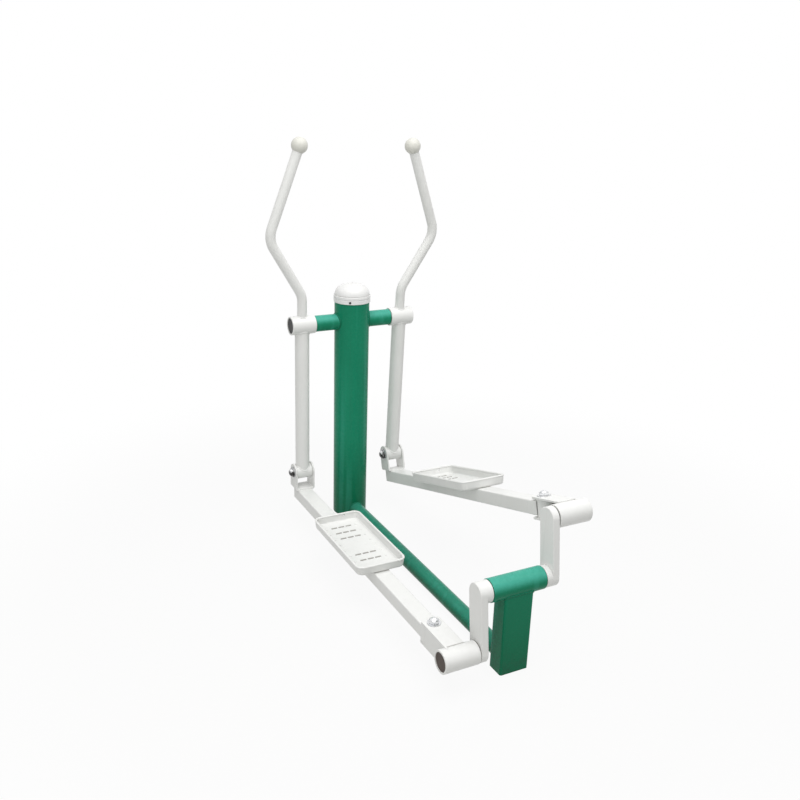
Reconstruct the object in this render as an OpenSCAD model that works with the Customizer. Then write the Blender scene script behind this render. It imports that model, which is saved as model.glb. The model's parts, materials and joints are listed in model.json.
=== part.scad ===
// Outdoor pedal walker. Two levers swing on a cross tube at the top of a column. Each lever
// carries a long foot arm, and the rear ends of the arms turn on two opposed cranks on a post.
// Lengths are millimetres and angles are degrees. +Z is up and +Y runs from the cranks to the
// column. The origin lies on the ground under the middle of the machine.

/* [Layout] */
// Distance from the column's axis to the crank's axis
wheelbase = 1233; // [1180:1:1300]
// Height of the levers' pivot above the ground
pivot_h = 840; // [820:1:880]
// Height of the crank's axis above the ground
crank_h = 300; // [285:1:330]
// Distance of each lever and arm from the middle plane
side_x = 214; // [205:1:235]
// Length of a lever from its pivot to the fork pin
lever_len = 625; // [605:1:640]
// Length of an arm from the fork pin to the rear hub's axis
arm_len = 1264; // [1240:1:1290]
// Throw of the cranks
crank_throw = 190; // [170:1:200]
// Angle of the right crank ahead of upright at rest
crank_phase = 7.5; // [0:0.5:20]

/* [Column] */
// Outer diameter of the column
column_d = 140; // [130:1:155]
// Wall of the column
column_wall = 4; // [3:0.5:6]
// Height of the column's top above the levers' pivot
column_rise = 101; // [90:1:120]

/* [Cap] */
// Overlap of the cap's skirt on the column
cap_lap = 22; // [20:1:32]
// Wall of the cap
cap_wall = 3.2; // [2.5:0.1:4]
// Height of the lip above the column's end
cap_lip_h = 6; // [4:0.5:9]
// Height of the dome above the lip
dome_h = 46; // [38:1:60]
// Radius of the dome's shoulder
dome_shoulder = 36; // [26:1:38]
// Radius of the dome's crown
dome_crown = 200; // [160:1:260]
// Height of the groove round the skirt
cap_groove_h = 4; // [2:0.5:6]
// Number of screws in the skirt
cap_screw_count = 3; // [2:1:4]
// Diameter of a skirt screw
cap_screw_d = 5; // [4:0.5:6]

/* [Cross tube and lever axle] */
// Outer diameter of the cross tube
cross_d = 64; // [58:1:72]
// Wall of the cross tube
cross_wall = 4; // [3:0.5:5]
// Diameter of the lever axle between its end discs
lever_axle_d = 40; // [34:1:46]
// Thickness of the discs that seat the axle in the cross tube
axle_disc_t = 15; // [10:1:25]

/* [Large bearings] */
// Bore of a large bearing
bearing_bore = 30; // [28:1:32]
// Outer diameter of a large bearing
bearing_od = 62; // [58:1:63]
// Width of a large bearing
bearing_w = 16; // [14:1:18]

/* [Small bearings] */
// Bore of a small bearing, which is the fork pin's diameter
pin_d = 20; // [16:1:22]
// Outer diameter of a small bearing
small_od = 47; // [42:1:50]
// Width of a small bearing
small_w = 14; // [12:1:15]

/* [Axle ends] */
// Depth of an end cap below its hub's rim
plug_recess = 2; // [1:0.5:4]
// Thickness of an end cap
plug_t = 4; // [3:0.5:6]
// Space between an end cap and its nut
nut_space = 2; // [1:0.5:4]
// Thickness of an axle nut
axle_nut_t = 12; // [10:1:16]
// Width of an axle nut across its flats
axle_nut_af = 36; // [34:1:41]
// Thread diameter of an axle end
axle_thread_d = 24; // [20:1:26]
// Depth of a hub's inner bearing below the hub's rim
inner_recess = 3; // [2:0.5:6]

/* [Levers] */
// Outer diameter of a lever hub
lever_hub_d = 73; // [70:1:80]
// Length of a lever hub
lever_hub_len = 98; // [92:1:110]
// Outer diameter of a lever tube
lever_tube_d = 57; // [50:1:60]
// Wall of a lever tube
lever_tube_wall = 3; // [2.5:0.5:5]
// Outer diameter of the bush at a lever's foot
lever_bush_d = 60; // [58:1:66]
// Length of that bush
lever_bush_len = 67; // [56:1:72]

/* [Grips] */
// Outer diameter of a grip tube
grip_d = 38; // [32:1:42]
// Wall of a grip tube
grip_wall = 2.5; // [2:0.5:4]
// Height of the lower bend's corner above the pivot
grip_neck_h = 117; // [100:1:140]
// Height of the upper bend's corner above the pivot
grip_elbow_h = 342; // [310:1:380]
// Outward shift of the upper bend's corner
grip_elbow_out = 136; // [110:1:160]
// Height of the ball's centre above the pivot
grip_top_h = 681; // [640:1:720]
// Outward shift of the ball's centre
grip_top_out = 13; // [0:1:40]
// Bend radius of a grip tube's centreline
grip_bend_r = 90; // [70:1:110]
// Angle by which a grip leans back from its lever
grip_lean = 1.2; // [0:0.1:4]
// Diameter of the ball on a grip's end
ball_d = 62; // [56:1:70]

/* [Fork and fork pin] */
// Height of the fork pin above the arm's top face
pin_rise = 75; // [70:1:85]
// Radius of a fork ear
fork_r = 34; // [31:0.5:38]
// Thickness of the fork's plate
fork_t = 6; // [5:0.5:8]
// Outer radius of the fork's lower bends
fork_bend_r = 9; // [8:0.5:12]
// Diameter of the fork pin's washers
washer_d = 45; // [38:1:50]
// Thickness of a washer
washer_t = 3; // [2:0.5:4]
// Diameter of the fork pin's low round head
pin_head_d = 33; // [28:1:37]
// Height of that head
pin_head_h = 6; // [4:0.5:9]

/* [Domed nuts] */
// Width of a domed nut across its flats
dome_nut_af = 30; // [28:1:34]
// Height of a domed nut's flats
dome_nut_h = 9; // [7:0.5:12]
// Height of the dome on a nut
nut_dome_h = 7; // [5:0.5:9]

/* [Arms] */
// Width of an arm tube
arm_w = 60; // [50:1:62]
// Height of an arm tube
arm_h = 50; // [44:1:54]
// Wall of an arm tube
arm_wall = 3; // [2.5:0.5:4]
// Outer corner radius of an arm tube
arm_corner_r = 5; // [4:0.5:8]
// Length of an arm ahead of the fork pin
arm_nose = 20; // [10:1:30]

/* [Knuckles] */
// Distance from the knuckle bolt to the rear hub's axis
knuckle_len = 140; // [125:1:160]
// Outer diameter of the upright bush
knuckle_bush_d = 52; // [46:1:53]
// Width of the bracket
bracket_w = 66; // [62:1:72]
// Thickness of the bracket's plate
bracket_t = 6; // [5:0.5:8]
// Length of the bracket ahead of its bolt
bracket_nose = 28; // [26:1:36]
// Corner radius of the bracket's front
bracket_corner_r = 7; // [4:0.5:12]
// Diameter of the knuckle bolt
knuckle_bolt_d = 20; // [16:1:22]

/* [Rear hubs] */
// Outer diameter of a rear hub
rear_hub_d = 75; // [72:1:82]
// Reach of a rear hub outward of its arm's middle
rear_hub_reach = 55; // [52:1:70]
// Gap left at the opened pivot between crank and rear hub
open_gap = 3; // [2.8:0.1:5]

/* [Cranks] */
// Width of a crank bar
crank_w = 71; // [64:1:74]
// Thickness of a crank bar
crank_t = 25; // [20:1:30]
// Length of a crank's boss
crank_boss_t = 20; // [15:1:25]
// Gap between a crank's boss and the housing
boss_gap = 2; // [1:0.5:4]
// Width of the chamfer along a crank's edges
crank_chamfer = 2; // [1:0.5:4]

/* [Post, housing and base] */
// Outer diameter of the crank housing
housing_d = 75; // [72:1:82]
// Length of the crank housing
housing_len = 194; // [180:1:210]
// Diameter of the crank axle between its bearings
crank_axle_d = 37; // [35:1:44]
// Diameter of the crank axle's ends in the cranks
crank_seat_d = 28; // [24:1:28]
// Width of the rear post across the machine
post_w = 104; // [90:1:120]
// Depth of the rear post along the machine
post_l = 65; // [55:1:70]
// Wall of the rear post
post_wall = 4; // [3:0.5:6]
// Outer corner radius of the rear post
post_corner_r = 7; // [6:0.5:12]
// Outer diameter of the base beam
beam_d = 58; // [50:1:64]
// Wall of the base beam
beam_wall = 4; // [3:0.5:5]

/* [Foot trays] */
// Width of a foot tray
pedal_w = 190; // [176:1:198]
// Length of a foot tray
pedal_l = 416; // [390:1:440]
// Height of a foot tray
pedal_h = 36; // [28:1:42]
// Distance of a tray's middle behind the fork pin
pedal_back = 555; // [530:1:590]
// Outer corner radius of a tray
pedal_corner_r = 28; // [20:1:40]
// Thickness of a tray's floor
pedal_floor_t = 4; // [3:0.5:5]
// Thickness of a tray's side walls
pedal_wall = 4; // [3:0.5:5]
// Diameter of the rolled rim
pedal_rim_d = 8; // [7:0.5:10]
// Number of studs along each long side
stud_count = 8; // [4:1:10]
// Distance between neighbouring studs
stud_pitch = 43.5; // [36:0.5:44]
// Diameter of a stud
stud_d = 9; // [6:0.5:12]
// Distance between the two rows of studs
stud_span = 120; // [100:1:130]
// Height of the studs and bars above the floor
grip_pattern_h = 1.6; // [1:0.1:3]
// Length of one grip bar
bar_l = 24; // [16:1:26]
// Width of a grip bar
bar_w = 7; // [5:0.5:9]
// Gap between bars in a row
bar_gap = 5; // [4:0.5:8]
// Diameter of the hole in a tray's front wall
drain_d = 8; // [5:0.5:10]

/* [Hidden] */
$fn = 72;

// Clearances
run_gap = 0.05;      // round a shaft that turns in its bore
weld_gap = 0.1;      // between curved faces of pieces that are fixed together
end_gap = 0.2;       // between the end faces of pieces that turn past each other
fork_gap = 0.5;      // beside the bush in the fork, and beside the upright bush
hub_gap = 1.5;       // between the cross tube and a lever hub
cap_clear = 0.3;     // between the cap's skirt and the column
over = 1;            // overrun of cuts

// Small sizes
edge = 1;            // chamfer on turned edges
small_recess = 1;    // depth of a small bearing below its bush's rim
seal_depth = 0.6;    // depth of a bearing's seal groove
race_t = 4;          // radial thickness of a bearing's races
shoulder_t = 4;      // radial height of an axle's shoulder above its journal
spacer_t = 5;        // radial thickness of a crank spacer
waist_t = 3;         // radial height of the shoulder behind a large bearing
plug_rim_t = 4;      // rim round an end cap's dished middle
plug_dish = 1;       // depth of that dish
ball_groove = 1;     // width and depth of the ball's seam
crank_web_t = 5;     // metal left outside a blind seat in a crank
cap_groove_depth = 1.2;
cap_groove_drop = 6; // groove's middle below the column's end
cap_screw_drop = 14; // screws' height below the column's end
screw_head_t = 1.6;
screw_head_over = 2.5;
screw_tail = 4;      // length of a skirt screw inside the column's wall
pin_tail = 1;        // thread that shows past a plain nut
web_gap = 4;         // side web's start behind the bolt's axis
web_chamfer = 16;    // chamfer of the side web's lower rear corner
tube_back = 8;       // arm tube's end ahead of the bolt's axis
bend_lap = 2;        // reach of a grip's straight legs into its bends
bend_swell = 0.1;    // radius that a bend has over its legs
rim_lip = 1.5;       // overhang of a tray's rim past its walls
drain_out = 33;      // hole's place beside a tray's middle
drain_drop = 9;      // hole's depth below the rim's top

// Rows of grip bars, counted in studs from the middle of the tray, front first
bar_rows = [3.5, 2.5, 1.5, -1.5, -2.5];
bars_in_row = 3;
half_turn = 180;

green = [0.13, 0.52, 0.40];
white = [0.90, 0.91, 0.89];
steel = [0.62, 0.63, 0.65];
black = [0.12, 0.12, 0.13];
brown = [0.24, 0.20, 0.18];
bearing_grey = [0.45, 0.46, 0.48];

RIGHT = 1;
LEFT = -1;

// Places along the machine
cap_r = column_d / 2 + cap_clear + cap_wall;
column_y = (wheelbase + crank_throw * sin(crank_phase) + rear_hub_d / 2 - cap_r) / 2;
crank_y = column_y - wheelbase;
column_h = pivot_h + column_rise;

// Places across the machine
lever_hub_in = side_x - lever_hub_len / 2;
lever_hub_out = side_x + lever_hub_len / 2;
cross_half = lever_hub_in - hub_gap;
crank_boss_in = housing_len / 2 + boss_gap;
crank_in = crank_boss_in + crank_boss_t;
crank_out = crank_in + crank_t;
rear_hub_in = crank_out + open_gap;
rear_hub_out = side_x + rear_hub_reach;
rear_hub_len = rear_hub_out - rear_hub_in;

// Depths from a hub's outer rim to its nut and its outer bearing
nut_out = plug_recess + plug_t + nut_space;
nut_in = nut_out + axle_nut_t;
outer_bearing = nut_in + end_gap;
outer_seat = outer_bearing + bearing_w;
inner_seat = inner_recess + bearing_w;
small_seat = small_recess + small_w;

// Diameters that follow the bearings
large_bore = bearing_od + 2 * run_gap;
large_waist = bearing_od - 2 * waist_t;
small_bore = small_od + 2 * run_gap;
small_waist = small_od - 2 * waist_t;
journal_d = bearing_bore - 2 * run_gap;
pin_hole = pin_d + 2 * run_gap;
knuckle_hole = knuckle_bolt_d + 2 * run_gap;

// Sizes of the fork, arm and knuckle
fork_in = lever_bush_len + 2 * fork_gap;
fork_w = fork_in + 2 * fork_t;
arm_drop = pin_rise + arm_h / 2;
knuckle_y = knuckle_len - arm_len;
plate_in = rear_hub_d / 2 - bracket_t;
knuckle_bush_h = 2 * (plate_in - fork_gap);
plate_end = sqrt(pow(rear_hub_d / 2, 2) - pow(rear_hub_d / 2 - bracket_t / 2, 2));

// Linkage: angles and places of each side at rest, in the plane of +Y and +Z
rod = sqrt(pow(arm_len, 2) + pow(arm_drop, 2));
function crank_angle(s) = s == RIGHT ? crank_phase : crank_phase + half_turn;
function hub_at(s) = [
    crank_throw * sin(crank_angle(s)) - wheelbase,
    crank_h + crank_throw * cos(crank_angle(s))
];
function pin_turn(d) = acos((pow(lever_len, 2) + d * d - rod * rod) / (2 * lever_len * norm(d)));
function pin_angle(d) = atan2(d.y, d.x) + pin_turn(d);
function pin_from(d) = lever_len * [cos(pin_angle(d)), sin(pin_angle(d))];
function pin_at(s) = pin_from(hub_at(s) - [0, pivot_h]) + [0, pivot_h];
function lever_angle(s) = atan2(pin_at(s).x, pivot_h - pin_at(s).y);
function arm_rise(e) = atan2(-e.y, e.x) + asin(arm_drop / rod);
function arm_angle(s) = arm_rise(pin_at(s) - hub_at(s));

// Placing frames

module on_side(s) {
    if (s == LEFT) mirror([1, 0, 0]) children();
    else children();
}

// At the levers' pivot
module at_pivot() {
    translate([0, column_y, pivot_h]) children();
}

// At the crank's axis
module at_crank() {
    translate([0, crank_y, crank_h]) children();
}

// At a lever's pivot, in the lever's own tilt and middle plane
module on_lever(s) {
    on_side(s) at_pivot() rotate([lever_angle(s), 0, 0]) translate([side_x, 0, 0]) children();
}

// At a lever's fork pin, in the lever's own tilt
module on_lever_foot(s) {
    on_lever(s) translate([0, 0, -lever_len]) children();
}

// At a fork pin, in the arm's own slope and middle plane
module on_arm(s) {
    on_side(s) translate([side_x, column_y + pin_at(s).x, pin_at(s).y])
        rotate([-arm_angle(s), 0, 0]) children();
}

// At a rear hub's axis, in the arm's own slope
module on_rear_hub(s) {
    on_arm(s) translate([0, -arm_len, -arm_drop]) children();
}

// At a rear hub's axis in the middle plane of the machine
module on_crank_pin(s) {
    on_rear_hub(s) translate([-side_x, 0, 0]) children();
}

// At the crank's axis, turned so that the crank stands along +Z
module on_crank(s) {
    on_side(s) at_crank() rotate([-crank_angle(s), 0, 0]) children();
}

// Turns a shape that stands along +Z to lie along +X
module along_x() {
    rotate([90, 0, 90]) children();
}

// Shared shapes

module rounded_rect(w, h, r) {
    union() {
        square([w - 2 * r, h], center = true);
        square([w, h - 2 * r], center = true);
        for (x = [r - w / 2, w / 2 - r], y = [r - h / 2, h / 2 - r])
            translate([x, y]) circle(r);
    }
}

// Turned tube from zero to len, counterbored from both ends for bearings
module hub_shell(d, len, bore, waist, near_seat, far_seat) {
    rotate_extrude() polygon([
        [waist / 2, near_seat], [bore / 2, near_seat], [bore / 2, 0],
        [d / 2 - edge, 0], [d / 2, edge],
        [d / 2, len - edge], [d / 2 - edge, len],
        [bore / 2, len], [bore / 2, len - far_seat], [waist / 2, len - far_seat]
    ]);
}

// Sealed bearing from zero to w, with a seal groove in each face
module bearing(bore, od, w) {
    rotate_extrude() polygon([
        [bore / 2, 0], [bore / 2 + race_t, 0],
        [bore / 2 + race_t, seal_depth], [od / 2 - race_t, seal_depth],
        [od / 2 - race_t, 0], [od / 2, 0],
        [od / 2, w], [od / 2 - race_t, w],
        [od / 2 - race_t, w - seal_depth], [bore / 2 + race_t, w - seal_depth],
        [bore / 2 + race_t, w], [bore / 2, w]
    ]);
}

// Two large bearings in a hub that runs from zero to len
module bearing_pair(len) {
    translate([0, 0, inner_recess]) bearing(bearing_bore, bearing_od, bearing_w);
    translate([0, 0, len - outer_seat]) bearing(bearing_bore, bearing_od, bearing_w);
}

// Dished end cap, its back face at zero
module end_plug() {
    rotate_extrude() polygon([
        [0, 0], [bearing_od / 2, 0], [bearing_od / 2, plug_t - edge],
        [bearing_od / 2 - edge, plug_t], [bearing_od / 2 - plug_rim_t, plug_t],
        [bearing_od / 2 - plug_rim_t - plug_dish, plug_t - plug_dish], [0, plug_t - plug_dish]
    ]);
}

module ring(d, hole, t) {
    difference() {
        cylinder(d = d, h = t);
        translate([0, 0, -over]) cylinder(d = hole, h = t + 2 * over);
    }
}

module hex_prism(af, h) {
    cylinder(d = af / cos(half_turn / 6), h = h, $fn = 6);
}

module axle_nut() {
    difference() {
        hex_prism(axle_nut_af, axle_nut_t);
        translate([0, 0, -over]) cylinder(d = axle_thread_d + 2 * run_gap, h = axle_nut_t + 2 * over);
    }
}

// Cap of a ball with its flat base at zero
module ball_cap(d, h) {
    r = (d * d / 4 + h * h) / (2 * h);
    intersection() {
        translate([0, 0, h - r]) sphere(r);
        cylinder(d = d, h = h);
    }
}

// Hexagonal head with a domed end, its seat at zero
module domed_head() {
    hex_prism(dome_nut_af, dome_nut_h);
    translate([0, 0, dome_nut_h]) ball_cap(dome_nut_af - 2 * edge, nut_dome_h);
}

// Domed nut with a blind threaded hole
module domed_nut(hole) {
    difference() {
        domed_head();
        translate([0, 0, -over]) cylinder(d = hole, h = dome_nut_h + over);
    }
}

// Fixed frame

module column() {
    color(green) translate([0, column_y, 0]) difference() {
        cylinder(d = column_d, h = column_h);
        translate([0, 0, -over]) cylinder(d = column_d - 2 * column_wall, h = column_h + 2 * over);
        translate([-column_d, 0, pivot_h]) along_x()
            cylinder(d = cross_d + 2 * weld_gap, h = 2 * column_d);
        skirt_screws() screw_hole();
    }
}

module skirt_screws() {
    for (i = [0:cap_screw_count - 1])
        translate([0, 0, column_h - cap_screw_drop])
            rotate([0, 0, 2 * half_turn * i / cap_screw_count])
                translate([cap_r, 0, 0]) along_x() children();
}

module screw_hole() {
    translate([0, 0, -cap_r / 2]) cylinder(d = cap_screw_d + 2 * weld_gap, h = cap_r);
}

// Half outline of the dome, from its seat up
module dome_half(r, h, shoulder, crown) {
    intersection() {
        union() {
            square([r - shoulder, h]);
            square([r, h - shoulder]);
            translate([r - shoulder, h - shoulder]) circle(shoulder);
        }
        translate([0, h - crown]) circle(crown);
        square([r, h]);
    }
}

module column_cap() {
    dome_r = column_d / 2;
    groove_low = -cap_groove_drop - cap_groove_h / 2;
    color(white) translate([0, column_y, 0]) difference() {
        translate([0, 0, column_h]) rotate_extrude() difference() {
            union() {
                translate([0, -cap_lap]) square([cap_r, cap_lap + cap_lip_h]);
                translate([0, cap_lip_h]) dome_half(dome_r, dome_h, dome_shoulder, dome_crown);
            }
            // Bore over the column's end
            translate([0, -cap_lap - over]) square([column_d / 2 + cap_clear, cap_lap + over]);
            // Hollow of the dome
            translate([0, -over]) square([dome_r - column_wall, cap_lip_h + over]);
            translate([0, cap_lip_h - over])
                dome_half(dome_r - column_wall, dome_h - cap_wall + over,
                          dome_shoulder - column_wall, dome_crown - cap_wall);
            // Groove round the skirt
            translate([cap_r - cap_groove_depth, groove_low])
                square([cap_groove_depth + over, cap_groove_h]);
        }
        skirt_screws() screw_hole();
    }
}

module cap_screws() {
    grip = cap_r - column_d / 2 + column_wall + screw_tail;
    color(black) translate([0, column_y, 0]) skirt_screws() {
        cylinder(d1 = cap_screw_d + 2 * screw_head_over, d2 = cap_screw_d + screw_head_over,
                 h = screw_head_t);
        translate([0, 0, -grip]) cylinder(d = cap_screw_d, h = grip);
    }
}

module cross_tube() {
    color(green) at_pivot() translate([-cross_half, 0, 0]) along_x()
        ring(cross_d, cross_d - 2 * cross_wall, 2 * cross_half);
}

// Turned shaft along +Z, from a list of [diameter, length] steps
module stepped_shaft(steps, i = 0) {
    if (i < len(steps)) {
        cylinder(d = steps[i][0], h = steps[i][1]);
        translate([0, 0, steps[i][1]]) stepped_shaft(steps, i + 1);
    }
}

module lever_axle() {
    disc_d = cross_d - 2 * cross_wall - 2 * weld_gap;
    shoulder_end = lever_hub_in + inner_recess - end_gap;
    journal_end = lever_hub_out - nut_in;
    half = [
        [lever_axle_d, cross_half - axle_disc_t],
        [disc_d, axle_disc_t],
        [journal_d + 2 * shoulder_t, shoulder_end - cross_half],
        [journal_d, journal_end - shoulder_end],
        [axle_thread_d, axle_nut_t + pin_tail]
    ];
    color(steel) at_pivot() for (s = [LEFT, RIGHT]) on_side(s) along_x() stepped_shaft(half);
}

module lever_axle_nuts() {
    color(steel) at_pivot() for (s = [LEFT, RIGHT])
        on_side(s) translate([lever_hub_out - nut_in, 0, 0]) along_x() axle_nut();
}

module rear_post() {
    color(green) translate([0, crank_y, 0]) difference() {
        linear_extrude(crank_h) difference() {
            rounded_rect(post_w, post_l, post_corner_r);
            rounded_rect(post_w - 2 * post_wall, post_l - 2 * post_wall, post_corner_r - post_wall);
        }
        translate([-post_w, 0, crank_h]) along_x() cylinder(d = housing_d + 2 * weld_gap, h = 2 * post_w);
    }
}

module crank_housing() {
    color(green) at_crank() translate([-housing_len / 2, 0, 0]) along_x()
        hub_shell(housing_d, housing_len, large_bore, large_waist, inner_seat, inner_seat);
}

module base_beam() {
    front = column_y;
    back = crank_y + post_l / 2;
    color(green) difference() {
        translate([0, front, beam_d / 2]) rotate([90, 0, 0])
            ring(beam_d, beam_d - 2 * beam_wall, front - back);
        translate([0, column_y, -over]) cylinder(d = column_d + 2 * weld_gap, h = beam_d + 2 * over);
    }
}

module crank_bearings() {
    color(bearing_grey) at_crank() for (s = [LEFT, RIGHT])
        on_side(s) translate([housing_len / 2 - inner_seat, 0, 0]) along_x()
            bearing(bearing_bore, bearing_od, bearing_w);
}

// Crankset

module crank_axle() {
    body_end = housing_len / 2 - inner_seat - end_gap;
    seat_end = crank_out - crank_web_t;
    half = [
        [crank_axle_d, body_end],
        [journal_d, crank_boss_in - body_end],
        [crank_seat_d, seat_end - crank_boss_in]
    ];
    color(steel) on_crank(RIGHT) for (s = [LEFT, RIGHT]) on_side(s) along_x() stepped_shaft(half);
}

module crank_spacers() {
    spacer_in = housing_len / 2 - inner_recess + end_gap;
    color(steel) on_crank(RIGHT) for (s = [LEFT, RIGHT])
        on_side(s) translate([spacer_in, 0, 0]) along_x()
            ring(bearing_bore + 2 * spacer_t, bearing_bore, crank_boss_in - spacer_in);
}

// Round end of a crank bar, with chamfered edges
module crank_end() {
    rotate_extrude() polygon([
        [0, 0], [crank_w / 2 - crank_chamfer, 0], [crank_w / 2, crank_chamfer],
        [crank_w / 2, crank_t - crank_chamfer], [crank_w / 2 - crank_chamfer, crank_t], [0, crank_t]
    ]);
}

// Straight part of a crank bar, along +Z from its axle, with the same chamfers
module crank_bar() {
    linear_extrude(crank_throw) polygon([
        [crank_in, crank_chamfer - crank_w / 2], [crank_in + crank_chamfer, -crank_w / 2],
        [crank_out - crank_chamfer, -crank_w / 2], [crank_out, crank_chamfer - crank_w / 2],
        [crank_out, crank_w / 2 - crank_chamfer], [crank_out - crank_chamfer, crank_w / 2],
        [crank_in + crank_chamfer, crank_w / 2], [crank_in, crank_w / 2 - crank_chamfer]
    ]);
}

module crank_arm(s) {
    color(white) on_crank(s) difference() {
        union() {
            crank_bar();
            for (z = [0, crank_throw]) translate([crank_in, 0, z]) along_x() crank_end();
            translate([crank_boss_in, 0, 0]) along_x()
                cylinder(d = crank_w, h = crank_boss_t + crank_chamfer);
        }
        // Blind seat of the axle, open to the inner side
        translate([crank_boss_in - over, 0, 0]) along_x()
            cylinder(d = crank_seat_d + 2 * run_gap, h = crank_out - crank_web_t - crank_boss_in + over);
        // Blind seat of the crank pin, open to the outer side
        translate([crank_in + crank_web_t, 0, crank_throw]) along_x()
            cylinder(d = crank_seat_d + 2 * run_gap, h = crank_t - crank_web_t + over);
    }
}

// Levers

module lever_hub(s) {
    color(white) on_lever(s) translate([-lever_hub_len / 2, 0, 0]) along_x()
        hub_shell(lever_hub_d, lever_hub_len, large_bore, large_waist, inner_seat, outer_seat);
}

module lever_bearings(s) {
    color(bearing_grey) on_lever(s) translate([-lever_hub_len / 2, 0, 0]) along_x()
        bearing_pair(lever_hub_len);
}

module lever_hub_cap(s) {
    color(black) on_lever(s) translate([lever_hub_len / 2 - plug_recess - plug_t, 0, 0]) along_x()
        end_plug();
}

// Round cut that fits a tube to a cross cylinder on its end
module saddle(d, reach) {
    translate([-reach, 0, 0]) along_x() cylinder(d = d + 2 * weld_gap, h = 2 * reach);
}

module lever_tube(s) {
    color(white) on_lever(s) difference() {
        translate([0, 0, -lever_len]) ring(lever_tube_d, lever_tube_d - 2 * lever_tube_wall, lever_len);
        saddle(lever_hub_d, lever_tube_d);
        translate([0, 0, -lever_len]) saddle(lever_bush_d, lever_tube_d);
    }
}

module lever_bush(s) {
    color(white) on_lever_foot(s) translate([-lever_bush_len / 2, 0, 0]) along_x()
        hub_shell(lever_bush_d, lever_bush_len, small_bore, small_waist, small_seat, small_seat);
}

module lower_bearings(s) {
    color(bearing_grey) on_lever_foot(s) for (e = [LEFT, RIGHT])
        on_side(e) translate([lever_bush_len / 2 - small_seat, 0, 0]) along_x()
            bearing(pin_hole, small_od, small_w);
}

// Tilt from upright of the line between two corners, each given as [outward, upward]
function tilt(a, b) = atan2(b.x - a.x, b.y - a.y);

// Bent rod that starts along +Z and leans towards +X by each turn, from its legs' lengths
module bent_rod(d, legs, turns, r, i = 0) {
    lap_in = i > 0 ? bend_lap : 0;
    lap_out = i < len(turns) ? bend_lap : 0;
    translate([0, 0, -lap_in]) cylinder(d = d, h = lap_in + legs[i] + lap_out);
    if (i < len(turns)) translate([0, 0, legs[i]]) {
        mirror([turns[i] < 0 ? 1 : 0, 0, 0]) rod_bend(d, r, abs(turns[i]));
        translate([sign(turns[i]) * r * (1 - cos(turns[i])), 0, r * sin(abs(turns[i]))])
            rotate([0, turns[i], 0]) bent_rod(d, legs, turns, r, i + 1);
    }
}

// Arc of rod that starts along +Z and bends towards +X
module rod_bend(d, r, angle) {
    translate([r, 0, 0]) rotate([90, 0, 180]) rotate_extrude(angle = angle)
        translate([r, 0]) circle(d = d + 2 * bend_swell);
}

grip_corners = [
    [0, 0], [0, grip_neck_h], [grip_elbow_out, grip_elbow_h], [grip_top_out, grip_top_h]
];
grip_tilts = [for (i = [0:2]) tilt(grip_corners[i], grip_corners[i + 1])];
grip_turns = [for (i = [0:1]) grip_tilts[i + 1] - grip_tilts[i]];
grip_cuts = [for (t = grip_turns) grip_bend_r * tan(abs(t) / 2)];
grip_legs = [
    norm(grip_corners[1] - grip_corners[0]) - grip_cuts[0],
    norm(grip_corners[2] - grip_corners[1]) - grip_cuts[0] - grip_cuts[1],
    norm(grip_corners[3] - grip_corners[2]) - grip_cuts[1]
];

module on_grip(s) {
    on_lever(s) rotate([grip_lean, 0, 0]) children();
}

module grip_tube(s) {
    bore_legs = [grip_legs[0], grip_legs[1], grip_legs[2] + over];
    color(white) on_grip(s) difference() {
        bent_rod(grip_d, grip_legs, grip_turns, grip_bend_r);
        bent_rod(grip_d - 2 * grip_wall, bore_legs, grip_turns, grip_bend_r);
        saddle(lever_hub_d, grip_d);
    }
}

module grip_end(s) {
    color(white) on_grip(s) translate([grip_top_out, 0, grip_top_h]) rotate([0, grip_tilts[2], 0])
        difference() {
            sphere(d = ball_d);
            translate([0, 0, -ball_d]) cylinder(d = grip_d + 2 * weld_gap, h = ball_d + weld_gap);
            rotate_extrude() translate([ball_d / 2 - ball_groove, -ball_groove / 2])
                square([2 * ball_groove, ball_groove]);
        }
}

// Fork pins, which point the same way on both sides, with their nuts towards -X
module on_fork_pin(s) {
    on_arm(s) on_side(-s) children();
}

module fork_pin(s) {
    reach = fork_w / 2 + end_gap + washer_t;
    color(black) on_fork_pin(s) {
        translate([-reach, 0, 0]) along_x() cylinder(d = pin_d, h = 2 * reach + dome_nut_h - run_gap);
        translate([-reach, 0, 0]) mirror([1, 0, 0]) along_x() ball_cap(pin_head_d, pin_head_h);
    }
}

module fork_pin_nut(s) {
    color(black) on_fork_pin(s) translate([fork_w / 2 + end_gap + washer_t, 0, 0]) along_x()
        domed_nut(pin_hole);
}

module fork_washers(s) {
    color(steel) on_arm(s) for (e = [LEFT, RIGHT])
        on_side(e) translate([fork_w / 2 + end_gap, 0, 0]) along_x() ring(washer_d, pin_hole, washer_t);
}

// Arms

module arm_tube(s) {
    back = arm_nose - knuckle_y - tube_back;
    color(white) on_arm(s) translate([0, 0, -arm_drop]) difference() {
        translate([0, arm_nose, 0]) rotate([90, 0, 0]) linear_extrude(back)
            rounded_rect(arm_w, arm_h, arm_corner_r);
        translate([0, arm_nose - arm_wall, 0]) rotate([90, 0, 0]) linear_extrude(back)
            rounded_rect(arm_w - 2 * arm_wall, arm_h - 2 * arm_wall, arm_corner_r - arm_wall);
        translate([0, knuckle_y, -arm_h]) cylinder(d = knuckle_bush_d + 2 * weld_gap, h = 2 * arm_h);
    }
}

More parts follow.
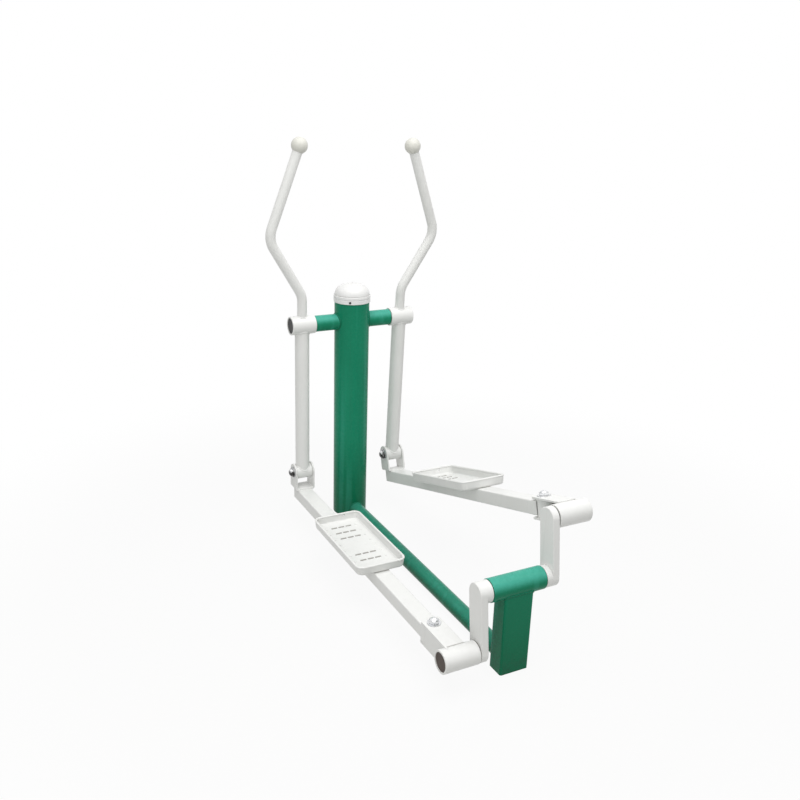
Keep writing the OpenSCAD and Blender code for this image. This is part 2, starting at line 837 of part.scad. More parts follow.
// Outline of the bent plate across the arm, its underside at zero
module fork_channel() {
    tall = pin_rise + fork_r;
    difference() {
        union() {
            translate([-fork_w / 2, fork_bend_r]) square([fork_w, tall - fork_bend_r]);
            translate([fork_bend_r - fork_w / 2, 0]) square([fork_w - 2 * fork_bend_r, fork_bend_r]);
            for (x = [LEFT, RIGHT])
                translate([x * (fork_w / 2 - fork_bend_r), fork_bend_r]) circle(fork_bend_r);
        }
        translate([-fork_in / 2, fork_bend_r]) square([fork_in, tall]);
        translate([fork_bend_r - fork_w / 2, fork_t]) square([fork_w - 2 * fork_bend_r, tall]);
        for (x = [LEFT, RIGHT])
            translate([x * (fork_w / 2 - fork_bend_r), fork_bend_r]) circle(fork_bend_r - fork_t);
    }
}

module fork(s) {
    color(white) on_arm(s) difference() {
        intersection() {
            translate([0, fork_r, -pin_rise]) rotate([90, 0, 0]) linear_extrude(2 * fork_r) fork_channel();
            union() {
                translate([-fork_w, 0, 0]) along_x() cylinder(r = fork_r, h = 2 * fork_w);
                translate([-fork_w, -fork_r, -pin_rise]) cube([2 * fork_w, 2 * fork_r, pin_rise]);
            }
        }
        translate([-fork_w, 0, 0]) along_x() cylinder(d = pin_hole, h = 2 * fork_w);
    }
}

// Round bar bent into a rounded rectangle, measured over its outer edges
module rim_loop(w, l, r, d) {
    bar_r = r - d / 2;
    for (x = [LEFT, RIGHT], y = [LEFT, RIGHT])
        translate([x * (w / 2 - r), y * (l / 2 - r), 0]) rotate([0, 0, corner_turn(x, y)])
            rotate_extrude(angle = half_turn / 2) translate([bar_r, 0]) circle(d = d);
    for (x = [LEFT, RIGHT])
        translate([x * (w - d) / 2, r - l / 2, 0]) cylinder_y(d, l - 2 * r);
    for (y = [LEFT, RIGHT])
        translate([r - w / 2, y * (l - d) / 2, 0]) along_x() cylinder(d = d, h = w - 2 * r);
}

// Turn of the quarter arc at each corner
function corner_turn(x, y) = x == RIGHT ? (y - RIGHT) * half_turn / 4 : half_turn - (y - LEFT) * half_turn / 4;

module cylinder_y(d, h) {
    rotate([-90, 0, 0]) cylinder(d = d, h = h);
}

// Open tray without its pattern. The rim's bead stands out past the walls by its lip.
module tray_shell() {
    outer_w = pedal_w - 2 * rim_lip;
    outer_l = pedal_l - 2 * rim_lip;
    outer_r = pedal_corner_r - rim_lip;
    rim_z = pedal_h - pedal_rim_d / 2;
    difference() {
        linear_extrude(rim_z) rounded_rect(outer_w, outer_l, outer_r);
        translate([0, 0, pedal_floor_t]) linear_extrude(pedal_h)
            rounded_rect(outer_w - 2 * pedal_wall, outer_l - 2 * pedal_wall, outer_r - pedal_wall);
    }
    translate([0, 0, rim_z]) rim_loop(pedal_w, pedal_l, pedal_corner_r, pedal_rim_d);
}

module grip_bar() {
    linear_extrude(grip_pattern_h + over) {
        square([bar_l - bar_w, bar_w], center = true);
        for (x = [LEFT, RIGHT]) translate([x * (bar_l - bar_w) / 2, 0]) circle(d = bar_w);
    }
}

module pedal(s) {
    pattern_z = pedal_floor_t - over;
    color(white) on_arm(s) translate([0, -pedal_back, -pin_rise]) difference() {
        union() {
            tray_shell();
            for (x = [LEFT, RIGHT], i = [0:stud_count - 1])
                translate([x * stud_span / 2, (i - (stud_count - 1) / 2) * stud_pitch, pattern_z])
                    cylinder(d = stud_d, h = grip_pattern_h + over);
            for (row = bar_rows, i = [0:bars_in_row - 1])
                translate([(i - (bars_in_row - 1) / 2) * (bar_l + bar_gap), row * stud_pitch, pattern_z])
                    grip_bar();
        }
        // Hole in the front wall, on the same hand in both trays
        translate([s * drain_out, pedal_l / 2 + over, pedal_h - drain_drop - drain_d / 2])
            rotate([90, 0, 0]) cylinder(d = drain_d, h = pedal_rim_d + 2 * over);
    }
}

module knuckle_bush(s) {
    color(white) on_arm(s) translate([0, knuckle_y, -arm_drop - knuckle_bush_h / 2])
        ring(knuckle_bush_d, knuckle_hole, knuckle_bush_h);
}

// Rear hubs

module rear_hub(s) {
    color(white) on_crank_pin(s) translate([rear_hub_in, 0, 0]) along_x()
        hub_shell(rear_hub_d, rear_hub_len, large_bore, large_waist, inner_seat, outer_seat);
}

module rear_bearings(s) {
    color(bearing_grey) on_crank_pin(s) translate([rear_hub_in, 0, 0]) along_x()
        bearing_pair(rear_hub_len);
}

module rear_hub_cap(s) {
    color(brown) on_crank_pin(s) translate([rear_hub_out - plug_recess - plug_t, 0, 0]) along_x()
        end_plug();
}

// Outline of a bracket plate, from the hub's axis forward, with its front corners rounded
module bracket_plate() {
    front = knuckle_len + bracket_nose;
    difference() {
        union() {
            translate([-bracket_w / 2, plate_end])
                square([bracket_w, front - plate_end - bracket_corner_r]);
            translate([bracket_corner_r - bracket_w / 2, front - 2 * bracket_corner_r])
                square([bracket_w - 2 * bracket_corner_r, 2 * bracket_corner_r]);
            for (x = [LEFT, RIGHT])
                translate([x * (bracket_w / 2 - bracket_corner_r), front - bracket_corner_r])
                    circle(bracket_corner_r);
        }
        translate([0, knuckle_len]) circle(d = knuckle_hole);
    }
}

// Side web, drawn with x forward from the hub's axis and y up
module bracket_web() {
    top = rear_hub_d / 2;
    start = knuckle_len - web_gap;
    polygon([
        [0, top], [start, top], [start, -top], [web_chamfer + plate_end, -top], [0, -top + web_chamfer]
    ]);
}

module knuckle_bracket(s) {
    color(white) on_rear_hub(s) difference() {
        union() {
            translate([0, 0, plate_in]) linear_extrude(bracket_t) bracket_plate();
            translate([0, 0, -plate_in - bracket_t]) linear_extrude(bracket_t) bracket_plate();
            translate([bracket_w / 2 - bracket_t, 0, 0]) along_x() linear_extrude(bracket_t) bracket_web();
        }
        saddle(rear_hub_d, bracket_w);
    }
}

module knuckle_bolt(s) {
    reach = plate_in + bracket_t + washer_t;
    color(steel) on_rear_hub(s) translate([0, knuckle_len, 0]) {
        translate([0, 0, -reach]) cylinder(d = knuckle_bolt_d, h = 2 * reach + dome_nut_h - run_gap);
        translate([0, 0, -reach]) mirror([0, 0, 1]) hex_prism(dome_nut_af, dome_nut_h);
    }
}

// Domed nut with the washers under it and under the bolt's head
module knuckle_nut(s) {
    plate_out = plate_in + bracket_t;
    color(steel) on_rear_hub(s) translate([0, knuckle_len, 0]) {
        translate([0, 0, plate_out + washer_t + weld_gap]) domed_nut(knuckle_hole);
        translate([0, 0, plate_out]) ring(washer_d, knuckle_hole, washer_t);
        translate([0, 0, -plate_out - washer_t]) ring(washer_d, knuckle_hole, washer_t);
    }
}

// Crank pin with the nut that holds the outer bearing
module crank_pin(s) {
    journal_end = rear_hub_len - nut_in;
    color(steel) on_crank_pin(s) translate([rear_hub_in, 0, 0]) along_x() {
        stepped_shaft([
            [journal_d + 2 * shoulder_t, inner_recess - end_gap],
            [journal_d, journal_end - inner_recess + end_gap],
            [axle_thread_d, axle_nut_t + pin_tail]
        ]);
        translate([0, 0, journal_end + weld_gap]) axle_nut();
    }
}

column();
column_cap();
cap_screws();
cross_tube();
lever_axle();
lever_axle_nuts();
rear_post();
crank_housing();
base_beam();
crank_bearings();
crank_axle();
crank_spacers();
crank_arm(RIGHT);  // crank_arm_right
crank_arm(LEFT);  // crank_arm_left
lever_hub(RIGHT);  // lever_hub_right
lever_bearings(RIGHT);  // lever_bearings_right
lever_hub_cap(RIGHT);  // lever_hub_cap_right
lever_tube(RIGHT);  // lever_tube_right
lever_bush(RIGHT);  // lever_bush_right
lower_bearings(RIGHT);  // lower_bearings_right
grip_tube(RIGHT);  // grip_tube_right
grip_end(RIGHT);  // grip_end_right
fork_pin(RIGHT);  // fork_pin_right
fork_pin_nut(RIGHT);  // fork_pin_nut_right
fork_washers(RIGHT);  // fork_washers_right
arm_tube(RIGHT);  // arm_tube_right
fork(RIGHT);  // fork_right
pedal(RIGHT);  // pedal_right
knuckle_bush(RIGHT);  // knuckle_bush_right
rear_hub(RIGHT);  // rear_hub_right
rear_bearings(RIGHT);  // rear_bearings_right
rear_hub_cap(RIGHT);  // rear_hub_cap_right
knuckle_bracket(RIGHT);  // knuckle_bracket_right
knuckle_bolt(RIGHT);  // knuckle_bolt_right
knuckle_nut(RIGHT);  // knuckle_nut_right
crank_pin(RIGHT);  // crank_pin_right
lever_hub(LEFT);  // lever_hub_left
lever_bearings(LEFT);  // lever_bearings_left
lever_hub_cap(LEFT);  // lever_hub_cap_left
lever_tube(LEFT);  // lever_tube_left
lever_bush(LEFT);  // lever_bush_left
lower_bearings(LEFT);  // lower_bearings_left
grip_tube(LEFT);  // grip_tube_left
grip_end(LEFT);  // grip_end_left
fork_pin(LEFT);  // fork_pin_left
fork_pin_nut(LEFT);  // fork_pin_nut_left
fork_washers(LEFT);  // fork_washers_left
arm_tube(LEFT);  // arm_tube_left
fork(LEFT);  // fork_left
pedal(LEFT);  // pedal_left
knuckle_bush(LEFT);  // knuckle_bush_left
rear_hub(LEFT);  // rear_hub_left
rear_bearings(LEFT);  // rear_bearings_left
rear_hub_cap(LEFT);  // rear_hub_cap_left
knuckle_bracket(LEFT);  // knuckle_bracket_left
knuckle_bolt(LEFT);  // knuckle_bolt_left
knuckle_nut(LEFT);  // knuckle_nut_left
crank_pin(LEFT);  // crank_pin_left
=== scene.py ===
"""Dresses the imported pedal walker: paint, rubber and steel, weld beads, foot trays and small rounder
pieces that ride on its bodies, floor, light and camera."""
import json
import math

import bmesh
import bpy
from mathutils import Matrix, Vector


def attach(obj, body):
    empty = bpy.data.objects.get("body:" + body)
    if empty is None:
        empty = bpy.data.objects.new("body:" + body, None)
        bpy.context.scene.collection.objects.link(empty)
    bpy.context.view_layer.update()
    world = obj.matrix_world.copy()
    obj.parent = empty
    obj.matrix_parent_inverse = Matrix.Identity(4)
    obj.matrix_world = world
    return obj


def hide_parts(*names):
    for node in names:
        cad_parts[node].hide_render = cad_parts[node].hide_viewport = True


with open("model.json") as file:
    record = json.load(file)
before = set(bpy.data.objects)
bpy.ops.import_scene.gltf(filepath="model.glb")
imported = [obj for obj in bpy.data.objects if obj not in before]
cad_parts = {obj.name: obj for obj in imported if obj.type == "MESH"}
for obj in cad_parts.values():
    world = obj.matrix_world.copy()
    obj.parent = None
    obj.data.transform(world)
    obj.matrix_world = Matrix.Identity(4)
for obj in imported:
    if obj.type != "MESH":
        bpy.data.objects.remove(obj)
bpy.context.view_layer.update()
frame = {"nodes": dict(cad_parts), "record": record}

# ---------------------------------------------------------------- sizes of the part, in metres
COLUMN_R = 0.070
CROSS_R = 0.032
HUB_R = 0.0365
LEVER_TUBE_R = 0.0285
BUSH_R = 0.030
GRIP_R = 0.019
HOUSING_R = 0.0375
BEAM_R = 0.029
POST_X, POST_Y, POST_CORNER, POST_CORNER_STEPS = 0.052, 0.0325, 0.007, 6
ARM_X, ARM_Z = 0.030, 0.025
KNUCKLE_R, KNUCKLE_BACK = 0.026, 0.140
COLUMN_Y = 0.6109000
CRANK_Y = COLUMN_Y - 1.233
PIVOT_Z = 0.840
CRANK_Z = 0.300
SIDE_X = 0.214
LEVER_LEN = 0.625
ARM_LEN = 1.264
PIN_RISE = 0.075
SIDES = {"right": 1, "left": -1}
PIN_AT = {"right": (0.6409883, 0.2157247), "left": (0.6168262, 0.2150281)}
LEVER_TILT = {"right": math.radians(2.759362), "left": math.radians(0.543284)}
GRIP_LEAN = math.radians(1.2)
ARM_SLOPE = {"right": math.radians(16.940883), "left": math.radians(-0.154254)}

RIGHT_ANGLE = math.pi / 2

# ---------------------------------------------------------------- node helpers
# The colour sockets of the Mix node, which share their names with its other kinds
MIX_A, MIX_B, MIX_RESULT = 6, 7, 2
RAY_SAMPLES = 4
EDGE_BAND, CREVICE_BAND = (0.02, 0.25), (0.35, 0.8)


class Graph:
    """Short spelling for building the nodes of a material or of the world."""

    def __init__(self, owner, output="ShaderNodeOutputMaterial"):
        self.owner = owner
        owner.use_nodes = True
        self.tree = owner.node_tree
        self.tree.nodes.clear()
        self.out = self.node(output)

    def node(self, kind, **values):
        n = self.tree.nodes.new(kind)
        for k, v in values.items():
            setattr(n, k, v)
        return n

    def link(self, a, b):
        self.tree.links.new(a, b)

    def put(self, value, socket):
        if isinstance(value, bpy.types.NodeSocket):
            self.link(value, socket)
        else:
            socket.default_value = value

    def put_colour(self, value, socket):
        self.put(value if isinstance(value, bpy.types.NodeSocket) else (*value, 1.0), socket)

    def coords(self, kind="Object"):
        return self.node("ShaderNodeTexCoord").outputs[kind]

    def z_of(self, vector):
        n = self.node("ShaderNodeSeparateXYZ")
        self.link(vector, n.inputs[0])
        return n.outputs["Z"]

    def scaled(self, vector, scale):
        n = self.node("ShaderNodeMapping")
        self.link(vector, n.inputs["Vector"])
        n.inputs["Scale"].default_value = scale
        return n.outputs["Vector"]

    def noise(self, vector, scale, detail, rough):
        n = self.node("ShaderNodeTexNoise")
        self.link(vector, n.inputs["Vector"])
        n.inputs["Scale"].default_value = scale
        n.inputs["Detail"].default_value = detail
        n.inputs["Roughness"].default_value = rough
        return n.outputs["Fac"]

    def cells(self, vector, scale):
        n = self.node("ShaderNodeTexVoronoi", feature="F1")
        self.link(vector, n.inputs["Vector"])
        n.inputs["Scale"].default_value = scale
        return n.outputs["Distance"]

    def ramp(self, value, low, high, out_low=0.0, out_high=1.0):
        n = self.node("ShaderNodeMapRange", interpolation_type="SMOOTHSTEP")
        self.link(value, n.inputs["Value"])
        n.inputs["From Min"].default_value = low
        n.inputs["From Max"].default_value = high
        n.inputs["To Min"].default_value = out_low
        n.inputs["To Max"].default_value = out_high
        return n.outputs["Result"]

    def maths(self, op, a, b):
        n = self.node("ShaderNodeMath", operation=op)
        self.put(a, n.inputs[0])
        self.put(b, n.inputs[1])
        return n.outputs[0]

    def times(self, a, b):
        return self.maths("MULTIPLY", a, b)

    def mix(self, fac, a, b):
        n = self.node("ShaderNodeMix", data_type="RGBA")
        self.link(fac, n.inputs["Factor"])
        self.put_colour(a, n.inputs[MIX_A])
        self.put_colour(b, n.inputs[MIX_B])
        return n.outputs[MIX_RESULT]

    def bump(self, height, distance, strength, normal):
        n = self.node("ShaderNodeBump")
        n.inputs["Strength"].default_value = strength
        n.inputs["Distance"].default_value = distance
        self.link(height, n.inputs["Height"])
        self.link(normal, n.inputs["Normal"])
        return n.outputs["Normal"]

    def soft_normal(self, radius):
        n = self.node("ShaderNodeBevel", samples=RAY_SAMPLES)
        n.inputs["Radius"].default_value = radius
        return n.outputs["Normal"]

    def edge_mask(self, radius, band=EDGE_BAND):
        """1 along sharp edges, from how far a rounded normal departs from the true one."""
        true = self.node("ShaderNodeNewGeometry").outputs["Normal"]
        n = self.node("ShaderNodeVectorMath", operation="DOT_PRODUCT")
        self.link(self.soft_normal(radius), n.inputs[0])
        self.link(true, n.inputs[1])
        return self.ramp(self.maths("SUBTRACT", 1.0, n.outputs["Value"]), *band)

    def crevice(self, distance):
        """1 deep in corners and seams."""
        n = self.node("ShaderNodeAmbientOcclusion", samples=RAY_SAMPLES)
        n.inputs["Distance"].default_value = distance
        return self.ramp(self.maths("SUBTRACT", 1.0, n.outputs["AO"]), *CREVICE_BAND)

    def seen(self):
        """1 for what the camera sees, straight, mirrored or through something clear."""
        path = self.node("ShaderNodeLightPath").outputs
        mirrored = self.maths("MAXIMUM", path["Is Camera Ray"], path["Is Glossy Ray"])
        return self.maths("MAXIMUM", mirrored, path["Is Transmission Ray"])

    def plain(self, kind, colour, strength):
        """Emission or background of one colour."""
        n = self.node(kind)
        n.inputs["Color"].default_value = (*colour, 1.0)
        n.inputs["Strength"].default_value = strength
        return n

    def blend(self, share, a, b):
        n = self.node("ShaderNodeMixShader")
        self.link(share, n.inputs[0])
        self.link(a.outputs[0], n.inputs[1])
        self.link(b.outputs[0], n.inputs[2])
        return n

    def surface(self, shader):
        self.link(shader.outputs[0], self.out.inputs["Surface"])
        return self.owner

    def shader(self, colour, rough, normal, specular=0.5, metallic=0.0):
        p = self.node("ShaderNodeBsdfPrincipled")
        self.link(colour, p.inputs["Base Color"])
        self.link(rough, p.inputs["Roughness"])
        self.link(normal, p.inputs["Normal"])
        p.inputs["Metallic"].default_value = metallic
        p.inputs["Specular IOR Level"].default_value = specular
        return self.surface(p)


# ---------------------------------------------------------------- materials
# A noise is (cycles per metre, detail, roughness), a band (from, to) and sometimes what comes out at
# each end of it. A stretch scales the three axes before a noise, a reach and a round are in metres.
DRIFT, DRIFT_BAND = (2.6, 2.0, 0.5), (0.34, 0.66)
FINE = (46.0, 4.0, 0.6)
SHADE_HEIGHT = (0.42, 0.02, 0.0, 0.75)
TOP_LIGHT_FACING, TOP_LIGHT_BLOTCH, TOP_LIGHT_HEIGHT = (0.0, 0.8), (0.3, 0.75, 0.82, 1.0), (0.03, 0.30)
STREAK_STRETCH, STREAK, STREAK_BAND, STREAK_SHARE = (85.0, 85.0, 1.8), (1.0, 3.0, 0.6), (0.56, 0.80), 0.10
GLOSS_STRETCH, GLOSS, GLOSS_BAND = (34.0, 34.0, 1.1), (1.0, 1.0, 0.4), (0.55, 0.68)
SOIL_HEIGHT, SOIL_BLOTCH = (0.10, 0.0), (0.35, 0.75, 0.05, 0.45)
DIRT_AND_SHADE_REACH, DIRT_AND_SHADE_BLOTCH, DIRT_ROUGH = 0.014, (0.25, 0.8, 0.25, 0.65), 0.3
CHIP, CHIP_BAND = (140.0, 4.0, 0.65), (0.5, 0.66)
WORN, WORN_BAND = (9.0, 2.0, 0.5), (0.42, 0.62)
WAVES, WAVE_DEPTH, WAVE_SHARE = (22.0, 2.0, 0.4), 0.0008, 0.4
PEEL, PEEL_DEPTH, PEEL_SHARE = (420.0, 2.0, 0.45), 0.00010, 0.5
PAINT_ROUND, PAINT_ROUGH_BAND, PAINT_ROUGH = 0.0014, (0.25, 0.75), (-0.03, 0.05)

CLOUD, CLOUD_BAND = (60.0, 4.0, 0.6), (0.3, 0.75, 0.0, 0.5)
HOLLOW_REACH, HOLLOW_SHARE = 0.008, 0.6
RUB, RUB_BAND, RUB_ROUND, RUB_SHARE = (180.0, 3.0, 0.6), (0.4, 0.65), 0.0012, 0.5
RUB_GAIN, RUB_LIFT = 2.2, 0.02
GRAIN_DEPTH, GRAIN_SHARE = 0.00012, 0.35
MOULD_ROUND, MOULD_ROUGH_BAND, MOULD_ROUGH, MOULD_SPECULAR = 0.0008, (0.2, 0.8), (-0.06, 0.1), 0.4

SMUDGE, SMUDGE_BAND = (38.0, 4.0, 0.6), (0.35, 0.7)
TOOL_MARKS, MARK_DEPTH, MARK_SHARE = (1.0, 2.0, 0.5), 0.00008, 0.5
STAIN_AND_SHADE_REACH, STAIN_AND_SHADE_SHARE = 0.006, 0.7
SPOTS, SPOT_BAND, SPOT_SHARE = (230.0, 3.0, 0.7), (0.62, 0.74), 0.25
TOP_REFLECTION_FACING = (0.05, 0.75)
RIM_ROUND, RIM_BAND = 0.0016, (0.01, 0.12)
STEEL_ROUND, STEEL_ROUGH_BAND, STEEL_ROUGH = 0.0007, (0.25, 0.75), (-0.08, 0.12)


def paint(name, base, deep, lit_tone, grime_and_shade, chip, rough, specular, wear,
          shade=None, low_top_light=1.0, painted_sheen=0.0):
    """Outdoor enamel: orange peel, slow colour drift, painted top light, soil and painted shade in corners,
    thin wear on edges.

    shade is the tone of painted shade towards the ground, low_top_light how much of the painted top light is
    left there, and painted_sheen the strength of the painted sheen, soft light lines down a round tube.
    """
    g = Graph(bpy.data.materials.new(name))
    at = g.coords()
    height = g.z_of(at)
    fine = g.noise(at, *FINE)
    colour = g.mix(g.ramp(g.noise(at, *DRIFT), *DRIFT_BAND), deep, base)
    # Painted shade: darker towards the ground
    if shade is not None:
        colour = g.mix(g.ramp(height, *SHADE_HEIGHT), colour, shade)
    # Painted top light: faces that look up turn lighter, less so near the ground
    top_light = g.times(g.ramp(g.z_of(g.coords("Normal")), *TOP_LIGHT_FACING), g.ramp(fine, *TOP_LIGHT_BLOTCH))
    top_light = g.times(top_light, g.ramp(height, *TOP_LIGHT_HEIGHT, low_top_light, 1.0))
    colour = g.mix(top_light, colour, lit_tone)
    # Fine streaks that rain leaves down the sides
    streaks = g.ramp(g.noise(g.scaled(at, STREAK_STRETCH), *STREAK), *STREAK_BAND)
    colour = g.mix(g.times(streaks, STREAK_SHARE), colour, grime_and_shade)
    if painted_sheen:
        # Painted sheen: long soft light lines down a round tube
        lines = g.ramp(g.noise(g.scaled(at, GLOSS_STRETCH), *GLOSS), *GLOSS_BAND)
        colour = g.mix(g.times(lines, painted_sheen), colour, lit_tone)
    # Dust and soil low down; dirt and painted shade in the corners
    soil = g.times(g.ramp(height, *SOIL_HEIGHT), g.ramp(fine, *SOIL_BLOTCH))
    colour = g.mix(soil, colour, grime_and_shade)
    dirt_and_shade = g.times(g.crevice(DIRT_AND_SHADE_REACH), g.ramp(fine, *DIRT_AND_SHADE_BLOTCH))
    colour = g.mix(dirt_and_shade, colour, grime_and_shade)
    # Chips along the edges, in some places only
    edges = g.times(g.edge_mask(PAINT_ROUND), g.ramp(g.noise(at, *CHIP), *CHIP_BAND))
    places = g.times(g.ramp(g.noise(at, *WORN), *WORN_BAND), wear)
    colour = g.mix(g.times(edges, places), colour, chip)
    uneven = g.ramp(fine, *PAINT_ROUGH_BAND, *(rough + d for d in PAINT_ROUGH))
    roughness = g.maths("ADD", uneven, g.times(dirt_and_shade, DIRT_ROUGH))
    normal = g.bump(g.noise(at, *WAVES), WAVE_DEPTH, WAVE_SHARE, g.soft_normal(PAINT_ROUND))
    normal = g.bump(g.noise(at, *PEEL), PEEL_DEPTH, PEEL_SHARE, normal)
    return g.shader(colour, roughness, normal, specular)


def moulded(name, base, dust, rough, grain):
    """Moulded plastic or rubber with a fine grain, dust in the hollows and rubbed edges."""
    g = Graph(bpy.data.materials.new(name))
    at = g.coords()
    cloud = g.noise(at, *CLOUD)
    colour = g.mix(g.ramp(cloud, *CLOUD_BAND), base, dust)
    colour = g.mix(g.times(g.crevice(HOLLOW_REACH), HOLLOW_SHARE), colour, dust)
    rub = g.times(g.edge_mask(RUB_ROUND), g.ramp(g.noise(at, *RUB), *RUB_BAND))
    rubbed = tuple(min(1.0, c * RUB_GAIN + RUB_LIFT) for c in dust)
    colour = g.mix(g.times(rub, RUB_SHARE), colour, rubbed)
    roughness = g.ramp(cloud, *MOULD_ROUGH_BAND, *(rough + d for d in MOULD_ROUGH))
    normal = g.bump(g.cells(at, grain), GRAIN_DEPTH, GRAIN_SHARE, g.soft_normal(MOULD_ROUND))
    return g.shader(colour, roughness, normal, MOULD_SPECULAR)


def steel(name, base, dark, rough, stain_and_shade, turning, rim=0.0, top_reflection=None):
    """Turned or plated steel with tool marks, smudges, stains and painted shade in its corners.

    turning stretches the marks, rim is painted shade on the edges, and bleached the tone of a painted
    reflection on what faces up.
    """
    g = Graph(bpy.data.materials.new(name))
    at = g.coords()
    smudge = g.noise(at, *SMUDGE)
    colour = g.mix(g.ramp(smudge, *SMUDGE_BAND), dark, base)
    # Stains and painted shade in the corners
    colour = g.mix(g.times(g.crevice(STAIN_AND_SHADE_REACH), STAIN_AND_SHADE_SHARE), colour, stain_and_shade)
    spots = g.ramp(g.noise(at, *SPOTS), *SPOT_BAND)
    colour = g.mix(g.times(spots, SPOT_SHARE), colour, stain_and_shade)
    # Painted reflection: what faces up is lighter
    if top_reflection is not None:
        colour = g.mix(g.ramp(g.z_of(g.coords("Normal")), *TOP_REFLECTION_FACING), colour, top_reflection)
    # Painted shade along the edges
    if rim:
        colour = g.mix(g.times(g.edge_mask(RIM_ROUND, RIM_BAND), rim), colour, stain_and_shade)
    roughness = g.ramp(smudge, *STEEL_ROUGH_BAND, *(rough + d for d in STEEL_ROUGH))
    marks = g.noise(g.scaled(at, turning), *TOOL_MARKS)
    normal = g.bump(marks, MARK_DEPTH, MARK_SHARE, g.soft_normal(STEEL_ROUND))
    return g.shader(colour, roughness, normal, metallic=1.0)


GREEN = paint(
    "green_enamel", base=(0.011, 0.226, 0.124), deep=(0.008, 0.194, 0.104), lit_tone=(0.075, 0.430, 0.330),
    grime_and_shade=(0.030, 0.080, 0.055), chip=(0.15, 0.16, 0.15), rough=0.26, specular=0.09, wear=0.6,
    shade=(0.003, 0.120, 0.052), low_top_light=0.40, painted_sheen=0.16)
# Darker green for the weld beads, with little top light: painted shade along the joints
WELD_GREEN = paint(
    "green_weld_enamel", base=(0.009, 0.170, 0.092), deep=(0.006, 0.140, 0.072),
    lit_tone=(0.014, 0.205, 0.120), grime_and_shade=(0.020, 0.070, 0.045), chip=(0.10, 0.12, 0.10),
    rough=0.34, specular=0.09, wear=0.4)
WHITE = paint(
    "white_enamel", base=(0.774, 0.779, 0.764), deep=(0.742, 0.746, 0.728), lit_tone=(0.872, 0.875, 0.865),
    grime_and_shade=(0.40, 0.385, 0.34), chip=(0.32, 0.31, 0.29), rough=0.32, specular=0.20, wear=0.45)
# Darker grey for the raised bars of the tray floor
TREAD = paint(
    "dark_tread_enamel", base=(0.36, 0.355, 0.33), deep=(0.20, 0.195, 0.18), lit_tone=(0.42, 0.41, 0.385),
    grime_and_shade=(0.13, 0.125, 0.11), chip=(0.10, 0.10, 0.095), rough=0.52, specular=0.25, wear=1.0)
CAP_WHITE = paint(
    "white_cap_moulding", base=(0.80, 0.80, 0.795), deep=(0.77, 0.77, 0.765), lit_tone=(0.815, 0.815, 0.81),
    grime_and_shade=(0.45, 0.44, 0.40), chip=(0.62, 0.62, 0.60), rough=0.28, specular=0.35, wear=0.1)
BALL_WHITE = paint(
    "white_ball_moulding", base=(0.66, 0.657, 0.605), deep=(0.63, 0.626, 0.57),
    lit_tone=(0.675, 0.672, 0.625), grime_and_shade=(0.42, 0.40, 0.34), chip=(0.58, 0.57, 0.52),
    rough=0.30, specular=0.35, wear=0.1)
DARK = moulded(
    "dark_cap_rubber", base=(0.035, 0.036, 0.038), dust=(0.105, 0.100, 0.092), rough=0.62, grain=900.0)
BROWN = moulded(
    "brown_cap_rubber", base=(0.058, 0.043, 0.036), dust=(0.120, 0.100, 0.085), rough=0.60, grain=900.0)
BLACK = steel(
    "blackened_bolt_steel", base=(0.060, 0.058, 0.058), dark=(0.030, 0.029, 0.030), rough=0.30,
    stain_and_shade=(0.075, 0.045, 0.030), turning=(140.0, 900.0, 900.0))
# Dark nut steel with a painted reflection on top and painted shade on its edges
NUT = steel(
    "nut_steel_painted_reflection", base=(0.105, 0.104, 0.102), dark=(0.052, 0.050, 0.050), rough=0.22,
    stain_and_shade=(0.045, 0.035, 0.030), turning=(240.0, 240.0, 240.0), rim=0.55, top_reflection=(0.80, 0.81, 0.82))
ZINC = steel(
    "zinc_plated_steel", base=(0.60, 0.61, 0.62), dark=(0.44, 0.45, 0.47), rough=0.33,
    stain_and_shade=(0.17, 0.13, 0.10), turning=(150.0, 1100.0, 1100.0))
CHROME = steel(
    "bright_nut_steel", base=(0.86, 0.87, 0.88), dark=(0.74, 0.75, 0.77), rough=0.24,
    stain_and_shade=(0.10, 0.09, 0.08), turning=(120.0, 120.0, 120.0), rim=0.9)
RACE = steel(
    "bearing_steel", base=(0.50, 0.51, 0.53), dark=(0.34, 0.35, 0.37), rough=0.26,
    stain_and_shade=(0.10, 0.085, 0.07), turning=(200.0, 1500.0, 1500.0))

SLOT_MATERIAL = {
    "green_paint": GREEN, "white_paint": WHITE, "white_cap": CAP_WHITE, "white_ball": BALL_WHITE,
    "dark_cap": DARK, "brown_cap": BROWN, "dark_bolt": BLACK, "bare_steel": ZINC, "bearing_steel": RACE,
}
slot_of = {s["node"]: s["material_slot"] for s in frame["record"]["subparts"]}
for name, obj in frame["nodes"].items():
    material = CHROME if name.startswith("knuckle_nut") else SLOT_MATERIAL[slot_of[name]]
    obj.data.materials.clear()
    obj.data.materials.append(material)

# ---------------------------------------------------------------- shape helpers
SHARP = math.radians(32)
DRILL_SIDES = 20


def arc(radius, start, stop, steps):
    """Points on an arc, both ends included."""
    angles = [start + (stop - start) * k / steps for k in range(steps + 1)]
    return [(radius * math.cos(a), radius * math.sin(a)) for a in angles]


def quarter(radius, steps):
    return arc(radius, 0.0, RIGHT_ANGLE, steps)


def circle(radius, count):
    return arc(radius, 0.0, 2 * math.pi, count)[:-1]


def rounded_loop(half_x, half_y, radius, per_corner):
    """Rectangle with round corners."""
    points = []
    for cx, cy, start in ((1, 1, 0), (-1, 1, 1), (-1, -1, 2), (1, -1, 3)):
        corner = arc(radius, start * RIGHT_ANGLE, (start + 1) * RIGHT_ANGLE, per_corner)
        points += [(cx * (half_x - radius) + x, cy * (half_y - radius) + y) for x, y in corner]
    return points


def side_of(radius, across):
    """How far a cylinder's side lies from its axis, at a distance across it."""
    return math.sqrt(radius ** 2 - across ** 2)


